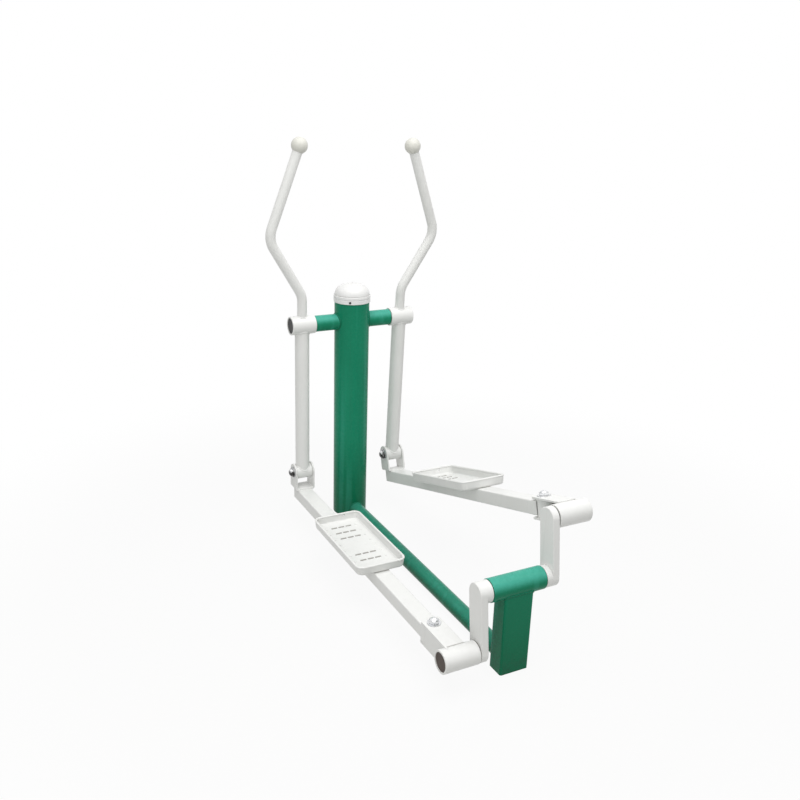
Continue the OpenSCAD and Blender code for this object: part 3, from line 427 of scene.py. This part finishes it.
def seated(side, angle, y0, z0):
    """Turns points given at a pivot, tilted about X by angle, into the row frame; x grows outward."""
    turn = Matrix.Rotation(angle, 3, "X")

    def place(x, y, z):
        v = turn @ Vector((0.0, y, z))
        return (SIDES[side] * (SIDE_X + x), y0 + v.y, z0 + v.z)
    return place


def in_lever(side):
    """Places points given at the lever's pivot, in the lever's tilt."""
    return seated(side, LEVER_TILT[side], COLUMN_Y, PIVOT_Z)


def in_grip(side):
    """Places points given at the lever's pivot, in the grip tube's lean."""
    lever = in_lever(side)
    lean = Matrix.Rotation(GRIP_LEAN, 3, "X")
    return lambda x, y, z: lever(*(lean @ Vector((x, y, z))))


def in_arm(side):
    """Places points given at the fork pin, in the arm's slope."""
    return seated(side, -ARM_SLOPE[side], *PIN_AT[side])


def skin(bm, loops, slot=0):
    """Faces from each loop of vertices to the next; all have the same count."""
    for a, b in zip(loops, loops[1:]):
        for k in range(len(a)):
            n = (k + 1) % len(a)
            bm.faces.new((a[k], a[n], b[n], b[k])).material_index = slot


def loft(bm, loops, slot=0):
    """Closed skin over stacked loops, with flat ends."""
    skin(bm, loops, slot)
    bm.faces.new(list(reversed(loops[0]))).material_index = slot
    bm.faces.new(loops[-1]).material_index = slot


def lathe(bm, profile, place, count):
    """Turns a closed (radius, height) profile round the local Z axis."""
    rings = [[bm.verts.new(place(x, y, z)) for x, y in circle(r, count)] for r, z in profile]
    skin(bm, rings + rings[:1])


def mesh_object(name, bm, materials):
    bmesh.ops.recalc_face_normals(bm, faces=bm.faces)
    mesh = bpy.data.meshes.new(name)
    bm.to_mesh(mesh)
    bm.free()
    for m in materials:
        mesh.materials.append(m)
    obj = bpy.data.objects.new(name, mesh)
    bpy.context.scene.collection.objects.link(obj)
    return obj


def drill(obj, place, at, radius, half):
    """Cuts a round hole through the piece, along the local Y axis, half to each side of its middle."""
    bm = bmesh.new()
    loft(bm, [[bm.verts.new(place(at[0] + x, y, at[2] + z)) for x, z in circle(radius, DRILL_SIDES)]
              for y in (at[1] - half, at[1] + half)])
    cutter = mesh_object(obj.name + "_drill", bm, [])
    cut = obj.modifiers.new("drill", "BOOLEAN")
    cut.operation, cut.solver, cut.object = "DIFFERENCE", "EXACT", cutter
    bpy.context.view_layer.update()
    done = bpy.data.meshes.new_from_object(obj.evaluated_get(bpy.context.evaluated_depsgraph_get()))
    obj.modifiers.remove(cut)
    old, obj.data = obj.data, done
    bpy.data.meshes.remove(old)
    spent = cutter.data
    bpy.data.objects.remove(cutter)
    bpy.data.meshes.remove(spent)


def smooth_by_angle(mesh):
    """Smooth faces with the edges above the sharp angle kept sharp."""
    bm = bmesh.new()
    bm.from_mesh(mesh)
    for f in bm.faces:
        f.smooth = True
    for e in bm.edges:
        e.smooth = len(e.link_faces) != 2 or e.calc_face_angle(0.0) < SHARP
    bm.to_mesh(mesh)
    bm.free()


def smooth_piece(obj, node, body):
    smooth_by_angle(obj.data)
    if node:
        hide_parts(node)
    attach(obj, body)


# ---------------------------------------------------------------- weld beads
BEAD_STEP, BEAD_POINTS, BEAD_SIDES = 0.0009, 24, 10
SCALE_PITCH, SCALE_COUNT, SCALE_SKEW = 0.0042, 4, 0.8
BEAD_CORE, BEAD_RIPPLE = 0.86, 0.14
# Slow swells along a bead as (share of the radius, radians per scale, phase)
BEAD_SWELLS = ((0.05, 1.7, 0.0), (0.04, 0.61, 1.0))
TAPER_RADII, TIP_SHARE = 2.5, 0.04
CROSS_BEAD, HOUSING_BEAD, BEAM_BEAD = 0.0040, 0.0038, 0.0036
LEVER_BEAD, GRIP_BEAD, BUSH_BEAD = 0.0034, 0.0030, 0.0028
FORK_REAR_BEAD, FORK_SIDE_BEAD, KNUCKLE_BEAD = 0.0030, 0.0026, 0.0030
# The beam's weld leaves out the underside, the knuckle's the side away from the arm
BEAM_SPAN = math.radians(-48), math.radians(228)
KNUCKLE_SPAN = math.radians(18), math.radians(162)
FORK_BACK, FORK_INSET = -0.034, 0.004
FORK_SEAM, FORK_BEAD_FROM, FORK_BEAD_TO, FORK_BEAD_DOWN = 0.050, -0.030, 0.018, 0.0005


def bead(name, points, radius, body, slot, closed=True):
    """A laid weld bead along points: overlapping scales, a little uneven, tapered ends where it is open."""
    pts = [Vector(p) for p in points]
    count = len(pts)
    path = [0.0]
    for a, b in zip(pts, pts[1:]):
        path.append(path[-1] + (b - a).length)
    total = path[-1] + ((pts[0] - pts[-1]).length if closed else 0.0)
    scales = max(SCALE_COUNT, round(total / SCALE_PITCH))
    bm = bmesh.new()
    rings = []
    guide = None
    for i, p in enumerate(pts):
        ahead = pts[(i + 1) % count] if closed or i < count - 1 else pts[i]
        behind = pts[i - 1] if closed or i > 0 else pts[i]
        along = (ahead - behind).normalized()
        if guide is None:
            guide = along.orthogonal().normalized()
        guide = (guide - along * guide.dot(along)).normalized()
        other = along.cross(guide)
        u = path[i] / total * scales
        ripple = 0.5 + 0.5 * math.cos(2 * math.pi * (u - math.floor(u)) ** SCALE_SKEW)
        swell = sum(share * math.sin(u * rate + phase) for share, rate, phase in BEAD_SWELLS)
        r = radius * (BEAD_CORE + BEAD_RIPPLE * ripple + swell)
        if not closed:
            end = min(path[i], total - path[i]) / (TAPER_RADII * radius)
            r *= math.sqrt(max(TIP_SHARE, min(1.0, end)))
        rings.append([bm.verts.new(p + guide * x + other * y) for x, y in circle(r, BEAD_SIDES)])
    if closed:
        # The guide may come round turned, so the last ring meets the first where it is nearest
        first, last = rings[0], rings[-1]
        shift = min(range(BEAD_SIDES), key=lambda s: (last[0].co - first[s].co).length)
        skin(bm, rings + [first[shift:] + first[:shift]])
    else:
        loft(bm, rings)
    # Green beads take the darker weld green: painted shade along the joints
    obj = mesh_object(name, bm, [WELD_GREEN if slot == "green_paint" else SLOT_MATERIAL[slot]])
    for f in obj.data.polygons:
        f.use_smooth = True
    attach(obj, body)


def steps_for(length):
    return max(BEAD_POINTS, int(length / BEAD_STEP))


def round_edge(radius):
    """The end of a round tube, in steps fit for a bead."""
    return circle(radius, steps_for(2 * math.pi * radius))


def part_edge(radius, start, stop):
    """Part of the end of a round tube, in steps fit for a bead."""
    return arc(radius, start, stop, steps_for(radius * (stop - start)))


def seam(start, stop, steps):
    """A straight run of values, both ends included."""
    return [start + (stop - start) * i / steps for i in range(steps + 1)]


def saddle(r, big, sign, place):
    """Where a tube along local Z meets a cylinder of radius big along local X, on the side of sign."""
    return [place(x, y, sign * side_of(big, y)) for x, y in round_edge(r)]


# Cross tube to column, on both sides
for side, s in SIDES.items():
    ring = [(s * side_of(COLUMN_R, y), COLUMN_Y + y, PIVOT_Z + z) for y, z in round_edge(CROSS_R)]
    bead("weld_cross_tube_" + side, ring, CROSS_BEAD, "frame", "green_paint")

# Housing on the post
outline = rounded_loop(POST_X, POST_Y, POST_CORNER, POST_CORNER_STEPS)
ring = []
for (x0, y0), (x1, y1) in zip(outline, outline[1:] + outline[:1]):
    n = max(1, int(math.hypot(x1 - x0, y1 - y0) / BEAD_STEP))
    for k in range(n):
        x, y = x0 + (x1 - x0) * k / n, y0 + (y1 - y0) * k / n
        ring.append((x, CRANK_Y + y, CRANK_Z - side_of(HOUSING_R, y)))
bead("weld_crank_housing", ring, HOUSING_BEAD, "frame", "green_paint")

# Beam to column and to post, above the ground
edge = part_edge(BEAM_R, *BEAM_SPAN)
bead("weld_beam_front", [(x, COLUMN_Y - side_of(COLUMN_R, x), BEAM_R + z) for x, z in edge],
     BEAM_BEAD, "frame", "green_paint", closed=False)
bead("weld_beam_rear", [(x, CRANK_Y + POST_Y, BEAM_R + z) for x, z in edge],
     BEAM_BEAD, "frame", "green_paint", closed=False)

for side in SIDES:
    lever, grip, arm = in_lever(side), in_grip(side), in_arm(side)

    def in_foot(x, y, z, lever=lever):
        return lever(x, y, z - LEVER_LEN)
    for joint, line, size in (
            ("lever_tube", saddle(LEVER_TUBE_R, HUB_R, -1, lever), LEVER_BEAD),
            ("grip_tube", saddle(GRIP_R, HUB_R, 1, grip), GRIP_BEAD),
            ("lever_bush", saddle(LEVER_TUBE_R, BUSH_R, 1, in_foot), BUSH_BEAD)):
        bead("weld_%s_%s" % (joint, side), line, size, "lever_" + side, "white_paint")

    # Fork on the arm: across its back, and along the arm's upper corners under it
    half = ARM_X - FORK_INSET
    seams = [("fork_rear", [arm(x, FORK_BACK, -PIN_RISE) for x in seam(-half, half, steps_for(2 * half))],
              FORK_REAR_BEAD)]
    for tag, x in (("inner", -ARM_X), ("outer", ARM_X)):
        run = seam(FORK_BEAD_FROM, FORK_BEAD_TO, steps_for(FORK_SEAM))
        seams.append(("fork_" + tag, [arm(x, y, -PIN_RISE - FORK_BEAD_DOWN) for y in run], FORK_SIDE_BEAD))
    # Upright bush in the arm's coped end, above and below
    for tag, z in (("top", -PIN_RISE), ("foot", -PIN_RISE - 2 * ARM_Z)):
        edge = part_edge(KNUCKLE_R, *KNUCKLE_SPAN)
        seams.append(("knuckle_" + tag, [arm(x, KNUCKLE_BACK - ARM_LEN + y, z) for x, y in edge],
                      KNUCKLE_BEAD))
    for joint, line, size in seams:
        bead("weld_%s_%s" % (joint, side), line, size, "arm_" + side, "white_paint", closed=False)

# ---------------------------------------------------------------- foot trays
TRAY_W, TRAY_L, TRAY_H, TRAY_CORNER, TRAY_CORNER_STEPS = 0.190, 0.416, 0.036, 0.028, 10
TRAY_BACK = 0.555
TRAY_LIP, TRAY_WALL, TRAY_FLOOR = 0.0015, 0.004, 0.004
TRAY_RIM_R, TRAY_RIM_SPAN, TRAY_RIM_STEPS = 0.004, (math.radians(-51), math.radians(248)), 20
TRAY_TAPER, TRAY_FOOT_R, TRAY_FILLET, TRAY_ROUND_STEPS = 0.0025, 0.009, 0.006, 6
STUD_PITCH, STUD_SPAN, STUD_R, STUD_COUNT, STUD_SIDES = 0.0435, 0.120, 0.0045, 8, 16
# Rows of bars are counted in stud pitches from the tray's middle
BAR_ROWS, BARS_IN_ROW = (3.5, 2.5, 1.5, -1.5, -2.5), 3
BAR_LEN, BAR_W, BAR_GAP, BAR_FLAT, BAR_CORNER_STEPS = 0.024, 0.007, 0.005, 0.0001, 5
PATTERN_H, STUD_SOFT, BAR_SOFT, SUNK, SOFT_STEPS = 0.0016, 0.0012, 0.0010, 0.001, 4
DRAIN_X, DRAIN_R, DRAIN_Z, DRAIN_REACH = 0.033, 0.004, 0.023, 0.014
ENAMEL_SLOT, TREAD_SLOT = 0, 1


def tray_profile():
    """Section of the tray's edge as (inset from the rim's outside, height), from underside to floor."""
    foot = TRAY_LIP + TRAY_TAPER
    inner = foot + TRAY_WALL
    rim_z = TRAY_H - TRAY_RIM_R
    out = [(foot + TRAY_FOOT_R - s, TRAY_FOOT_R - c) for c, s in quarter(TRAY_FOOT_R, TRAY_ROUND_STEPS)]
    out += [(TRAY_RIM_R - c, rim_z + s) for c, s in arc(TRAY_RIM_R, *TRAY_RIM_SPAN, TRAY_RIM_STEPS)]
    out += [(inner + TRAY_FILLET - c, TRAY_FLOOR + TRAY_FILLET - s)
            for c, s in quarter(TRAY_FILLET, TRAY_ROUND_STEPS)]
    return out


def tray_shell(place):
    bm = bmesh.new()
    loops = []
    for inset, z in tray_profile():
        loop = rounded_loop(TRAY_W / 2 - inset, TRAY_L / 2 - inset, TRAY_CORNER - inset, TRAY_CORNER_STEPS)
        loops.append([bm.verts.new(place(x, y, z)) for x, y in loop])
    loft(bm, loops)
    return bm


def lump(bm, outline, place, soft, slot):
    """Raised mark with a rounded top, sunk a little into the floor. outline(inset) gives its loop."""
    shoulder = TRAY_FLOOR + PATTERN_H - soft
    profile = [(0.0, TRAY_FLOOR - SUNK)]
    profile += [(soft - c, shoulder + s) for c, s in quarter(soft, SOFT_STEPS)]
    loft(bm, [[bm.verts.new(place(x, y, z)) for x, y in outline(inset)] for inset, z in profile], slot)


def stud_outline(cx, cy):
    return lambda inset: [(cx + x, cy + y) for x, y in circle(STUD_R - inset, STUD_SIDES)]


def bar_outline(cx, cy):
    def loop(inset):
        half_x, half_y = BAR_LEN / 2 - inset, BAR_W / 2 - inset
        ends = rounded_loop(half_x, half_y, half_y - BAR_FLAT, BAR_CORNER_STEPS)
        return [(cx + x, cy + y) for x, y in ends]
    return loop


def tray(side):
    arm = in_arm(side)

    def place(x, y, z):
        return arm(x, y - TRAY_BACK, z - PIN_RISE)
    shell = mesh_object("foot_tray_" + side, tray_shell(place), [WHITE, TREAD])
    drill(shell, place, (SIDES[side] * DRAIN_X, TRAY_L / 2, DRAIN_Z), DRAIN_R, DRAIN_REACH)
    bm = bmesh.new()
    bm.from_mesh(shell.data)
    for cx in (-STUD_SPAN / 2, STUD_SPAN / 2):
        for i in range(STUD_COUNT):
            cy = (i - (STUD_COUNT - 1) / 2) * STUD_PITCH
            lump(bm, stud_outline(cx, cy), place, STUD_SOFT, ENAMEL_SLOT)
    for row in BAR_ROWS:
        for i in range(BARS_IN_ROW):
            cx = (i - (BARS_IN_ROW - 1) / 2) * (BAR_LEN + BAR_GAP)
            lump(bm, bar_outline(cx, row * STUD_PITCH), place, BAR_SOFT, TREAD_SLOT)
    bmesh.ops.recalc_face_normals(bm, faces=bm.faces)
    bm.to_mesh(shell.data)
    bm.free()
    smooth_by_angle(shell.data)
    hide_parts("pedal_" + side)
    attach(shell, "arm_" + side)


for side in SIDES:
    tray(side)

# ---------------------------------------------------------------- cap, balls, nuts and bracket cheeks
CAP_R, CAP_SEAT, CAP_LAP, CAP_LIP, CAP_DOME = 0.0735, 0.941, 0.022, 0.006, 0.046
CAP_BORE_R, CAP_WALL, CAP_BEVEL, CAP_SIDES = 0.0703, 0.0032, 0.0006, 120
CAP_LIP_ROUND, CAP_LIP_STEPS = 0.0012, 5
GROOVE_DOWN, GROOVE_DEPTH, GROOVE_MOUTH, GROOVE_FLOOR = 0.006, 0.0012, 0.002, 0.0014
DOME_R, DOME_POWER, DOME_INSET, DOME_FROM = 0.070, 2.2, 0.004, 0.003
DOME_STEPS, DOME_TOP = 14, math.radians(89.2)
# Shadow line between the lip and the dome, as steps (out, up) from the dome's foot
DOME_LINE = ((0.0, 0.0), (-0.0010, -0.0008), (-0.0012, 0.0014), (-0.0002, 0.0022))
SCREW_Z, SCREW_R, SCREW_REACH, SCREW_COUNT = 0.927, 0.0027, 0.008, 3
BALL_R, BALL_UP, BALL_OUT, BALL_TILT = 0.031, 0.681, 0.013, math.radians(-19.934)
BALL_POLE_R, BALL_BORE_END, BALL_SIDES, BALL_STEPS = 0.0004, 0.0002, 64, 40
MOUTH_R, MOUTH_TURN = 0.0191, 0.05
# Rounding of the ball's mouth, as steps (out, up) from its edge
MOUTH_ROUND = ((0.0006, 0.0004), (0.0, 0.0011))
CHEEK_IN, CHEEK_OUT, CHEEK_REAR, CHEEK_FRONT, CHEEK_HALF = 0.0305, 0.0330, 0.1361, 0.167, 0.0314
CHEEK_CORNER, CHEEK_CORNER_STEPS = 0.010, 8
# Layers of the cheek as (x, inset, how much the front is feathered), so that its side runs on smoothly
CHEEK_LAYERS = ((CHEEK_IN, 0.0, 0.0), (CHEEK_IN + 0.0004, 0.0, 0.0),
                (CHEEK_OUT - 0.0003, 0.0, 0.0060), (CHEEK_OUT, 0.0003, 0.0074))
NUT_SEAT, NUT_BORE, NUT_BORE_H, NUT_H = 0.0432, 0.01005, 0.0090, 0.016
NUT_FLANGE_R, NUT_FLAT, NUT_SIDES = 0.0205, 0.015, 72
# Steps of the nut's flange as (out from its rim, height), and of its hexagon as (out from its flats,
# sharpness of the corners, height)
FLANGE_STEPS = ((-0.0006, 0.0), (0.0, 0.0006), (0.0, 0.0016), (-0.0010, 0.0026))
HEX_STEPS = ((0.0024, 0.0, 0.0029), (0.0, 1.0, 0.0032), (0.0, 1.0, 0.0086),
             (-0.0004, 0.35, 0.0094), (-0.0012, 0.0, 0.0098))
CROWN_R, CROWN_Z, CROWN_STEPS = 0.0136, 0.0100, 12


def dome(radius, height, base):
    """Quarter of a full-shouldered oval, from its foot up to near its top."""
    angles = [RIGHT_ANGLE * k / DOME_STEPS for k in range(DOME_STEPS)] + [DOME_TOP]
    power = 2 / DOME_POWER
    return [(radius * math.cos(a) ** power, base + height * math.sin(a) ** power) for a in angles]


def cap_profile():
    """Section of the hollow cap: skirt, groove, lip, dome and the inside."""
    low, top = CAP_SEAT - CAP_LAP, CAP_SEAT + CAP_LIP
    groove, deep = CAP_SEAT - GROOVE_DOWN, CAP_R - GROOVE_DEPTH
    out = [(CAP_BORE_R, low), (CAP_R - CAP_BEVEL, low), (CAP_R, low + CAP_BEVEL),
           (CAP_R, groove - GROOVE_MOUTH), (deep, groove - GROOVE_FLOOR),
           (deep, groove + GROOVE_FLOOR), (CAP_R, groove + GROOVE_MOUTH)]
    out += [(CAP_R - CAP_LIP_ROUND + c, top - CAP_LIP_ROUND + s)
            for c, s in quarter(CAP_LIP_ROUND, CAP_LIP_STEPS)]
    out += [(DOME_R + x, top + z) for x, z in DOME_LINE]
    out += [(r, z) for r, z in dome(DOME_R, CAP_DOME, top) if z > top + DOME_FROM]
    out += reversed(dome(DOME_R - DOME_INSET, CAP_DOME - CAP_WALL, top))
    out += [(DOME_R - DOME_INSET, CAP_SEAT), (CAP_BORE_R, CAP_SEAT)]
    return out


def cap():
    bm = bmesh.new()
    lathe(bm, cap_profile(), lambda x, y, z: (x, COLUMN_Y + y, z), CAP_SIDES)
    obj = mesh_object("domed_cap", bm, [CAP_WHITE])
    for i in range(SCREW_COUNT):
        turn = Matrix.Rotation(2 * math.pi * i / SCREW_COUNT - RIGHT_ANGLE, 3, "Z")

        def place(x, y, z, turn=turn):
            v = turn @ Vector((x, y, z))
            return (v.x, COLUMN_Y + v.y, v.z)
        drill(obj, place, (0.0, CAP_R, SCREW_Z), SCREW_R, SCREW_REACH)
    smooth_piece(obj, "column_cap", "frame")


def ball(side):
    """Moulded ball on a grip's end, its mouth rounded where the tube enters."""
    grip = in_grip(side)
    tilt = Matrix.Rotation(BALL_TILT, 3, "Y")
    centre = Vector((BALL_OUT, 0.0, BALL_UP))
    mouth = math.pi - math.asin(MOUTH_R / BALL_R)
    foot = BALL_R * math.cos(mouth)
    profile = [(BALL_POLE_R, BALL_R)]
    profile += [(s, c) for c, s in arc(BALL_R, 0.0, mouth - MOUTH_TURN, BALL_STEPS)[1:]]
    profile += [(MOUTH_R + x, foot + z) for x, z in MOUTH_ROUND]
    profile += [(MOUTH_R, BALL_BORE_END), (BALL_POLE_R, BALL_BORE_END)]
    bm = bmesh.new()
    lathe(bm, profile, lambda x, y, z: grip(*(centre + tilt @ Vector((x, y, z)))), BALL_SIDES)
    obj = mesh_object("grip_ball_" + side, bm, [BALL_WHITE])
    smooth_piece(obj, "grip_end_" + side, "lever_" + side)


def cheek(side):
    """Thin plate that closes the bracket's outer side ahead of its web, past the arm's tube."""
    arm = in_arm(side)
    mid, half = (CHEEK_REAR + CHEEK_FRONT) / 2, (CHEEK_FRONT - CHEEK_REAR) / 2
    bm = bmesh.new()
    loops = []
    for x, inset, feather in CHEEK_LAYERS:
        # The rear edge is straight, so that it meets the web all the way down
        loop = [(y - feather if y > 0 else -half, z)
                for y, z in rounded_loop(half - inset, CHEEK_HALF - inset, CHEEK_CORNER, CHEEK_CORNER_STEPS)]
        loops.append([bm.verts.new(arm(x, mid + y - ARM_LEN, z - PIN_RISE - ARM_Z)) for y, z in loop])
    loft(bm, loops)
    obj = mesh_object("bracket_cheek_" + side, bm, [WHITE])
    smooth_piece(obj, None, "rear_knuckle_" + side)


def nut_loops():
    """Loops (radius, sharpness of the hexagon, height) of a flanged domed nut, from bore to crown."""
    out = [(NUT_BORE, 0.0, NUT_BORE_H), (NUT_BORE, 0.0, 0.0)]
    out += [(NUT_FLANGE_R + x, 0.0, z) for x, z in FLANGE_STEPS]
    out += [(NUT_FLAT + x, sharp, z) for x, sharp, z in HEX_STEPS]
    out += [(CROWN_R * c, 0.0, CROWN_Z + (NUT_H - CROWN_Z) * s)
            for c, s in quarter(1.0, CROWN_STEPS)[1:-1]]
    return out


def fork_nut(side):
    arm = in_arm(side)
    sign = -SIDES[side]
    sixth = math.pi / 3
    bm = bmesh.new()
    loops = []
    for radius, sharp, height in nut_loops():
        ring = []
        for k in range(NUT_SIDES):
            a = 2 * math.pi * k / NUT_SIDES
            corner = 1 / math.cos((a + sixth / 2) % sixth - sixth / 2)
            r = radius * (1 + sharp * (corner - 1))
            ring.append(bm.verts.new(arm(sign * (NUT_SEAT + height), r * math.cos(a), r * math.sin(a))))
        loops.append(ring)
    loft(bm, loops)
    obj = mesh_object("fork_nut_" + side, bm, [NUT])
    smooth_piece(obj, "fork_pin_nut_" + side, "fork_pivot_" + side)


cap()
for side in SIDES:
    fork_nut(side)
    ball(side)
    cheek(side)

# ---------------------------------------------------------------- floor and world
FLOOR_HALF, FLOOR_DROP = 30.0, 0.0004
# How much of the floor's own light the camera sees, from near the object to far out
FLOOR_SHARE = (1.1, 2.3, 0.92, 1.0)
FLOOR_GRAIN, FLOOR_GRAIN_BAND = (55.0, 3.0, 0.6), (0.3, 0.7)
FLOOR_DARK, FLOOR_PALE = (0.62, 0.62, 0.615), (0.66, 0.66, 0.655)
PURE_WHITE, SKY_WHITE, SKY_STRENGTH = (1.0, 1.0, 1.0), (1.0, 1.0, 0.99), 0.50


def floor_material():
    """Pale floor that keeps the shadow near the object and turns to plain white further out."""
    g = Graph(bpy.data.materials.new("studio_floor"))
    at = g.coords()
    matt = g.node("ShaderNodeBsdfDiffuse")
    g.link(g.mix(g.ramp(g.noise(at, *FLOOR_GRAIN), *FLOOR_GRAIN_BAND), FLOOR_DARK, FLOOR_PALE),
           matt.inputs["Color"])
    away = g.node("ShaderNodeVectorMath", operation="LENGTH")
    g.link(at, away.inputs[0])
    share = g.times(g.seen(), g.ramp(away.outputs["Value"], *FLOOR_SHARE))
    return g.surface(g.blend(share, matt, g.plain("ShaderNodeEmission", PURE_WHITE, 1.0)))


floor_mesh = bpy.data.meshes.new("floor")
floor_mesh.from_pydata([(-FLOOR_HALF, -FLOOR_HALF, 0), (FLOOR_HALF, -FLOOR_HALF, 0),
                        (FLOOR_HALF, FLOOR_HALF, 0), (-FLOOR_HALF, FLOOR_HALF, 0)], [], [(0, 1, 2, 3)])
floor = bpy.data.objects.new("floor", floor_mesh)
floor.location = (0.0, 0.0, -FLOOR_DROP)
floor_mesh.materials.append(floor_material())
bpy.context.scene.collection.objects.link(floor)

# The camera sees plain white, the object is lit by a weaker sky
sky = Graph(bpy.data.worlds.new("studio"), "ShaderNodeOutputWorld")
bpy.context.scene.world = sky.surface(sky.blend(
    sky.seen(), sky.plain("ShaderNodeBackground", SKY_WHITE, SKY_STRENGTH),
    sky.plain("ShaderNodeBackground", PURE_WHITE, 1.0)))

# ---------------------------------------------------------------- lights and camera
# Name, place, what it is aimed at, width and height, watts, colour
SOFTBOXES = (
    ("key_overhead", (0.1, -0.6, 3.6), (0.0, 0.0, 0.5), (3.4, 3.0), 82.0, (1.0, 0.995, 0.985)),
    ("fill_left", (-2.9, -2.3, 1.9), (0.0, 0.0, 0.6), (2.4, 2.4), 31.0, PURE_WHITE),
)
SENSOR_MM, FOCAL_PX, IMAGE_PX, CENTRE_PX = 36.0, 893.724, 800.0, (399.680, 400.656)
CLIP_NEAR, CLIP_FAR = 0.05, 80.0
CAMERA_AT = (-1.45425521, -3.19469561 + COLUMN_Y, 1.73276843)
# Yaw, pitch and roll in degrees
CAMERA_TURN = (27.792263, -19.340536, 1.768796)

for name, at, target, size, power, colour in SOFTBOXES:
    light = bpy.data.lights.new(name, "AREA")
    light.shape = "RECTANGLE"
    light.size, light.size_y = size
    light.energy = power
    light.color = colour
    obj = bpy.data.objects.new(name, light)
    obj.location = at
    obj.rotation_mode = "QUATERNION"
    obj.rotation_quaternion = (Vector(target) - Vector(at)).to_track_quat("-Z", "Y")
    bpy.context.scene.collection.objects.link(obj)

cam_data = bpy.data.cameras.new("photo_camera")
cam_data.sensor_width = SENSOR_MM
cam_data.lens = SENSOR_MM * FOCAL_PX / IMAGE_PX
cam_data.shift_x = (IMAGE_PX / 2 - CENTRE_PX[0]) / IMAGE_PX
cam_data.shift_y = (CENTRE_PX[1] - IMAGE_PX / 2) / IMAGE_PX
cam_data.clip_start, cam_data.clip_end = CLIP_NEAR, CLIP_FAR
camera = bpy.data.objects.new("photo_camera", cam_data)
yaw, pitch, roll = (math.radians(a) for a in CAMERA_TURN)
ahead = Vector((math.sin(yaw) * math.cos(pitch), math.cos(yaw) * math.cos(pitch), math.sin(pitch)))
level = Vector((math.cos(yaw), -math.sin(yaw), 0.0))
above = level.cross(ahead)
right = level * math.cos(roll) + above * math.sin(roll)
up = above * math.cos(roll) - level * math.sin(roll)
camera.matrix_world = Matrix([(r, u, -a, p) for r, u, a, p in zip(right, up, ahead, CAMERA_AT)]
                             + [(0.0, 0.0, 0.0, 1.0)])
bpy.context.scene.collection.objects.link(camera)
bpy.context.scene.camera = camera
bpy.context.scene.view_settings.view_transform = "Standard"
